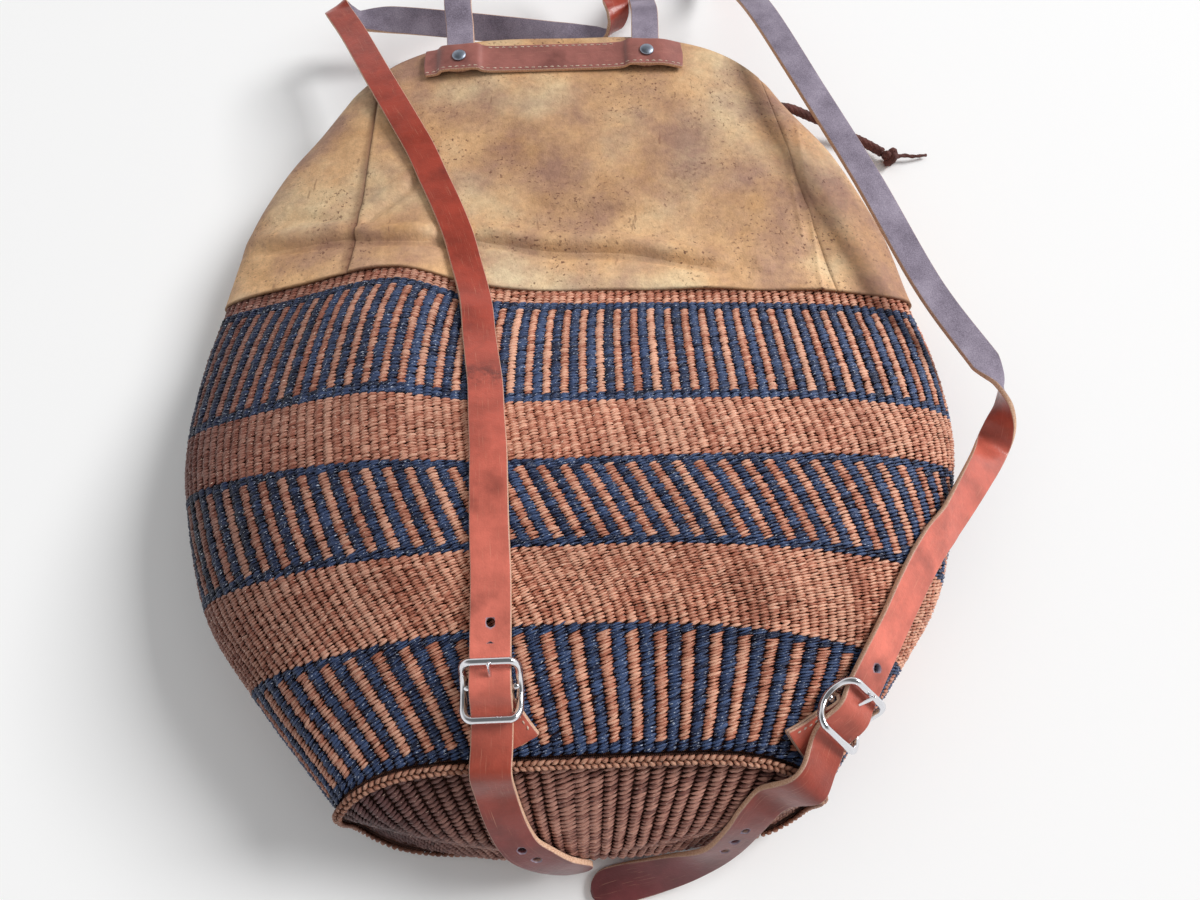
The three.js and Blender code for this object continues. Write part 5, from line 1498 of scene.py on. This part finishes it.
def join_shells(shells):
    """Several closed shells as one set of arrays."""
    points, quads, triangles = zip(*shells)
    firsts = np.cumsum([0] + [len(shell) for shell in points[:-1]])
    return (np.vstack(points), *(np.vstack([faces + first for faces, first in zip(kind, firsts)])
                                 for kind in (quads, triangles)))


def frame_wire():
    """Middle line of the frame: straight sides and quarter circles, raised towards both ends by x squared."""
    quarter = np.linspace(0, np.pi / 2, 10)
    corners = []
    for k, (x, y) in enumerate(((1, 1), (-1, 1), (-1, -1), (1, -1))):
        turn = quarter + k * np.pi / 2
        corners.append(np.stack([x * (HALF_LONG - CORNER) + CORNER * np.cos(turn),
                                 y * (HALF_WIDE - CORNER) + CORNER * np.sin(turn)], -1))
    plan = np.vstack(corners)
    plan = np.vstack([plan, plan[:1]])
    lengths = lengths_along(plan)
    even = np.linspace(0, lengths[-1], 121)[:-1]
    x, y = (np.interp(even, lengths, plan[:, k]) for k in range(2))
    return np.stack([x, y, END_RISE * (x / HALF_LONG) ** 2], -1)


def prong_shells():
    """The prong in its seat: an eye round the bar, as a ring of rounded section, and a tapered stem."""
    section = circle(WIRE_SIDES)
    turn = circle(EYE_TURNS)[:, None]
    radius = 2.75 + 0.68 * np.sign(np.cos(section)) * np.abs(np.cos(section)) ** 0.7
    across = 1.68 * np.sign(np.sin(section)) * np.abs(np.sin(section)) ** 0.5
    eye = np.stack(np.broadcast_arrays(radius * np.cos(turn), across, radius * np.sin(turn)), -1).reshape(-1, 3)
    eye_quads = grid_quads(EYE_TURNS, WIRE_SIDES, wrap_rows=True, wrap_columns=True)
    to_end = math.hypot(HALF_LONG, END_RISE)
    angle = math.atan2(END_RISE, HALF_LONG) + math.asin(PRONG_OVER_END / to_end)
    tip = math.sqrt(to_end ** 2 - PRONG_OVER_END ** 2) + PRONG_PAST_END
    reach = np.concatenate([np.linspace(PRONG_ROOT, tip - PRONG_ROUNDING[0], 30), tip - PRONG_ROUNDING[1:]])
    path = reach[:, None] * np.array([math.cos(angle), 0, math.sin(angle)])
    girth = np.interp(tip - reach, [*PRONG_ROUNDING[::-1], tip - PRONG_ROOT], PRONG_GIRTH)[:, None]
    return join_shells([(eye, eye_quads, NO_TRIANGLES), tube(path, girth, WIRE_SIDES)])


def frame_shells():
    """The frame in its seat: the bent wire and the straight bar."""
    bar = np.array([0, HALF_WIDE, 0]) * np.linspace(-1, 1, 12)[:, None]
    return join_shells([tube(frame_wire(), WIRE / 2, WIRE_SIDES, closed=True), tube(bar, WIRE / 2, WIRE_SIDES)])


for side, (axes, middle) in SEATS.items():
    for part, node, (points, *faces) in (("buckle", "buckle_frame", frame_shells()),
                                         ("prong", "buckle_prong", prong_shells())):
        store(f"{side}_{part}_wire", points @ axes.T + middle, *faces, finish=nickel, body=f"{side}_{part}",
              slot="nickel", stands_for=[f"{side}_{node}"])

# %% [markdown]
# Each buckle is held by a short tab, folded round the bar and sewn to the sack. A slot at the fold lets the
# prong through. The tab lies mostly under the strap, and only a sewn corner shows.

# %% Anchor tabs
TAB_WIDTH = 18.5
TAB_END_WIDTH = 27
TAB_STRAIGHT = 7
TAB_THICKNESS = 2
TAB_LOW = 1.3
TAB_HIGH = 3.6
TAB_BEND = 3.25
TAB_STEP = 0.6
TAB_SEAM_INSET = 2.2
FLARE_STEPS = 41
SLOT_HALF = np.array([7.9, 2.2, 7.9])
SLOT_AHEAD = np.array([3.95, 0, 0])


def tab_route(spec, seat):
    """Guide points of a tab: along the sack to the bar, round it, and back on top of itself. Clear of the bar it
    drifts aside evenly with the way back."""
    axes, middle = seat
    hx, hy = axes[0, 0], axes[1, 0]

    def lying(back, out, face):
        drift = spec["drift"] * max(0.0, back - TAB_STRAIGHT) / (TAB_LENGTH - TAB_STRAIGHT)
        v, a = top_place(spec["x"] - hx * back + hy * drift, spec["y"] - hy * back - hx * drift)
        normal = unit(axes[:, 2] + (skin_normal(v, a) - axes[:, 2]) * min(1.0, back / TAB_LENGTH))
        return skin(v, a) + skin_normal(v, a) * out, normal * face

    backs = [TAB_LENGTH * share for share in (1.12, 0.9, 0.67, 0.33)]
    low = [lying(back, TAB_LOW, 1) for back in backs]
    high = [lying(back, TAB_HIGH, -1) for back in reversed(backs)]
    bend = []
    for angle in np.radians([-90, -45, 0, 45, 90]):
        way = axes @ np.array([math.cos(angle), 0, math.sin(angle)])
        bend.append((middle + way * TAB_BEND, -way))
    return [*low, *bend, *high]


def slot_block(seat):
    """A block through the fold of the tab, wide enough for the prong's eye."""
    axes, middle = seat
    signs = np.array([[x, y, z] for x in (-1, 1) for y in (-1, 1) for z in (-1, 1)], dtype=float)
    corners = signs * SLOT_HALF + SLOT_AHEAD
    quads = [[0, 1, 3, 2], [4, 6, 7, 5], [0, 4, 5, 1], [2, 3, 7, 6], [0, 2, 6, 4], [1, 5, 7, 3]]
    return corners @ axes.T + middle, np.array(quads), NO_TRIANGLES


def tab_flare(length):
    """Widths of a tab as shares: it flares to both ends with the square of the way back from the bar."""
    bend = math.pi * TAB_BEND
    from_bar = np.abs(np.linspace(0, 1, FLARE_STEPS) - 0.5) * length
    back = np.clip(from_bar - bend / 2, 0, None) / ((length - bend) / 2)
    return 1 + (TAB_END_WIDTH / TAB_WIDTH - 1) * back ** 2


for side, spec in BUCKLES.items():
    route = tab_route(spec, SEATS[side])
    flare = tab_flare(band_frames(route, TAB_STEP, -1)[1][-1])
    tab = band(f"{side}_tab", route, TAB_WIDTH, TAB_THICKNESS, strap_leather, "leather", f"{side}_anchor_tab",
               step=TAB_STEP, tips=(1.0, 1.0), smooth=-1, flare=flare)
    punch(tab, [slot_block(SEATS[side])])
    seam = TAB_WIDTH / 2 * flare - TAB_SEAM_INSET
    for row, offsets in (("a", seam), ("b", -seam)):
        seam_on_band(f"{side}_tab_seam_{row}", route, TAB_THICKNESS, offsets, pitch=3.0, slot="leather",
                     start=0.68, end=0.97, smooth=-1)

# %% [markdown]
# The sack lies on a plain pale floor under broad, soft light: a large key light high at the right and behind, a
# weak fill from the left, and a pale surround. The left side then falls into shade, as in the photograph.

# %% Floor and light
FLOOR_HALF = 4000


def floor_finish():
    """Plain pale floor, near white, with no gloss."""
    material, _, shader, _, _ = start_finish("pale_floor", 1.0, 0.0)
    shader.inputs["Base Color"].default_value = (0.96, 0.96, 0.96, 1.0)
    return material


floor_mesh = bpy.data.meshes.new("floor")
corners = [(-1, -1, 0), (1, -1, 0), (1, 1, 0), (-1, 1, 0)]
places = [tuple(FLOOR_HALF * MM * value for value in corner) for corner in corners]
floor_mesh.from_pydata(places, [], [(0, 1, 2, 3)])
floor_mesh.materials.append(floor_finish())
floor = add_object("floor", floor_mesh)


def area_light(name, place, aim, size, power):
    """A square area light at a place in metres, turned towards its aim."""
    lamp = bpy.data.lights.new(name, "AREA")
    lamp.size = size
    lamp.energy = power
    holder = add_object(name, lamp)
    holder.location = place
    way = np.array(aim) - np.array(place)
    yaw = math.atan2(way[0], -way[1])
    tip = math.acos(float(-way[2] / np.linalg.norm(way)))
    holder.rotation_euler = (tip, 0, math.pi + yaw)


area_light("key", place=(9.0, 3.0, 7.8), aim=(0.0, 0.05, 0.05), size=5.1, power=1330)
area_light("fill", place=(-2.0, -1.6, 2.2), aim=(0.0, 0.0, 0.05), size=2.4, power=4)


def surround():
    """A pale surround, brighter overhead than at the horizon, by the height of the way looked. The camera, and
    the metal that mirrors it, see near-white above the floor, and a dark ceiling overhead."""
    world = bpy.data.worlds.new("surround")
    world.use_nodes = True
    tree = world.node_tree
    way = add_node(tree, "ShaderNodeTexCoord").outputs["Generated"]
    height = axis_of(tree, way, "Z")
    sky = ramp(tree, height, [(0.0, 0.12), (0.35, 0.4), (0.8, 0.95)])
    light = tree.nodes["Background"]
    tree.links.new(sky, light.inputs["Color"])
    light.inputs["Strength"].default_value = 0.56
    pale = ramp(tree, height, [(0.35, 0.93), (0.75, 0.16)])
    backdrop = add_node(tree, "ShaderNodeBackground", {"Color": pale, "Strength": 1.0})
    rays = add_node(tree, "ShaderNodeLightPath").outputs
    mirrored = maths(tree, "MAXIMUM", rays["Is Glossy Ray"], rays["Is Transmission Ray"])
    seen = maths(tree, "MAXIMUM", rays["Is Camera Ray"], mirrored)
    both = add_node(tree, "ShaderNodeMixShader", {"Fac": seen})
    tree.links.new(light.outputs["Background"], both.inputs[1])
    tree.links.new(backdrop.outputs["Background"], both.inputs[2])
    tree.links.new(both.outputs["Shader"], tree.nodes["World Output"].inputs["Surface"])
    return world


bpy.context.scene.world = surround()
bpy.context.scene.view_settings.view_transform = "Standard"
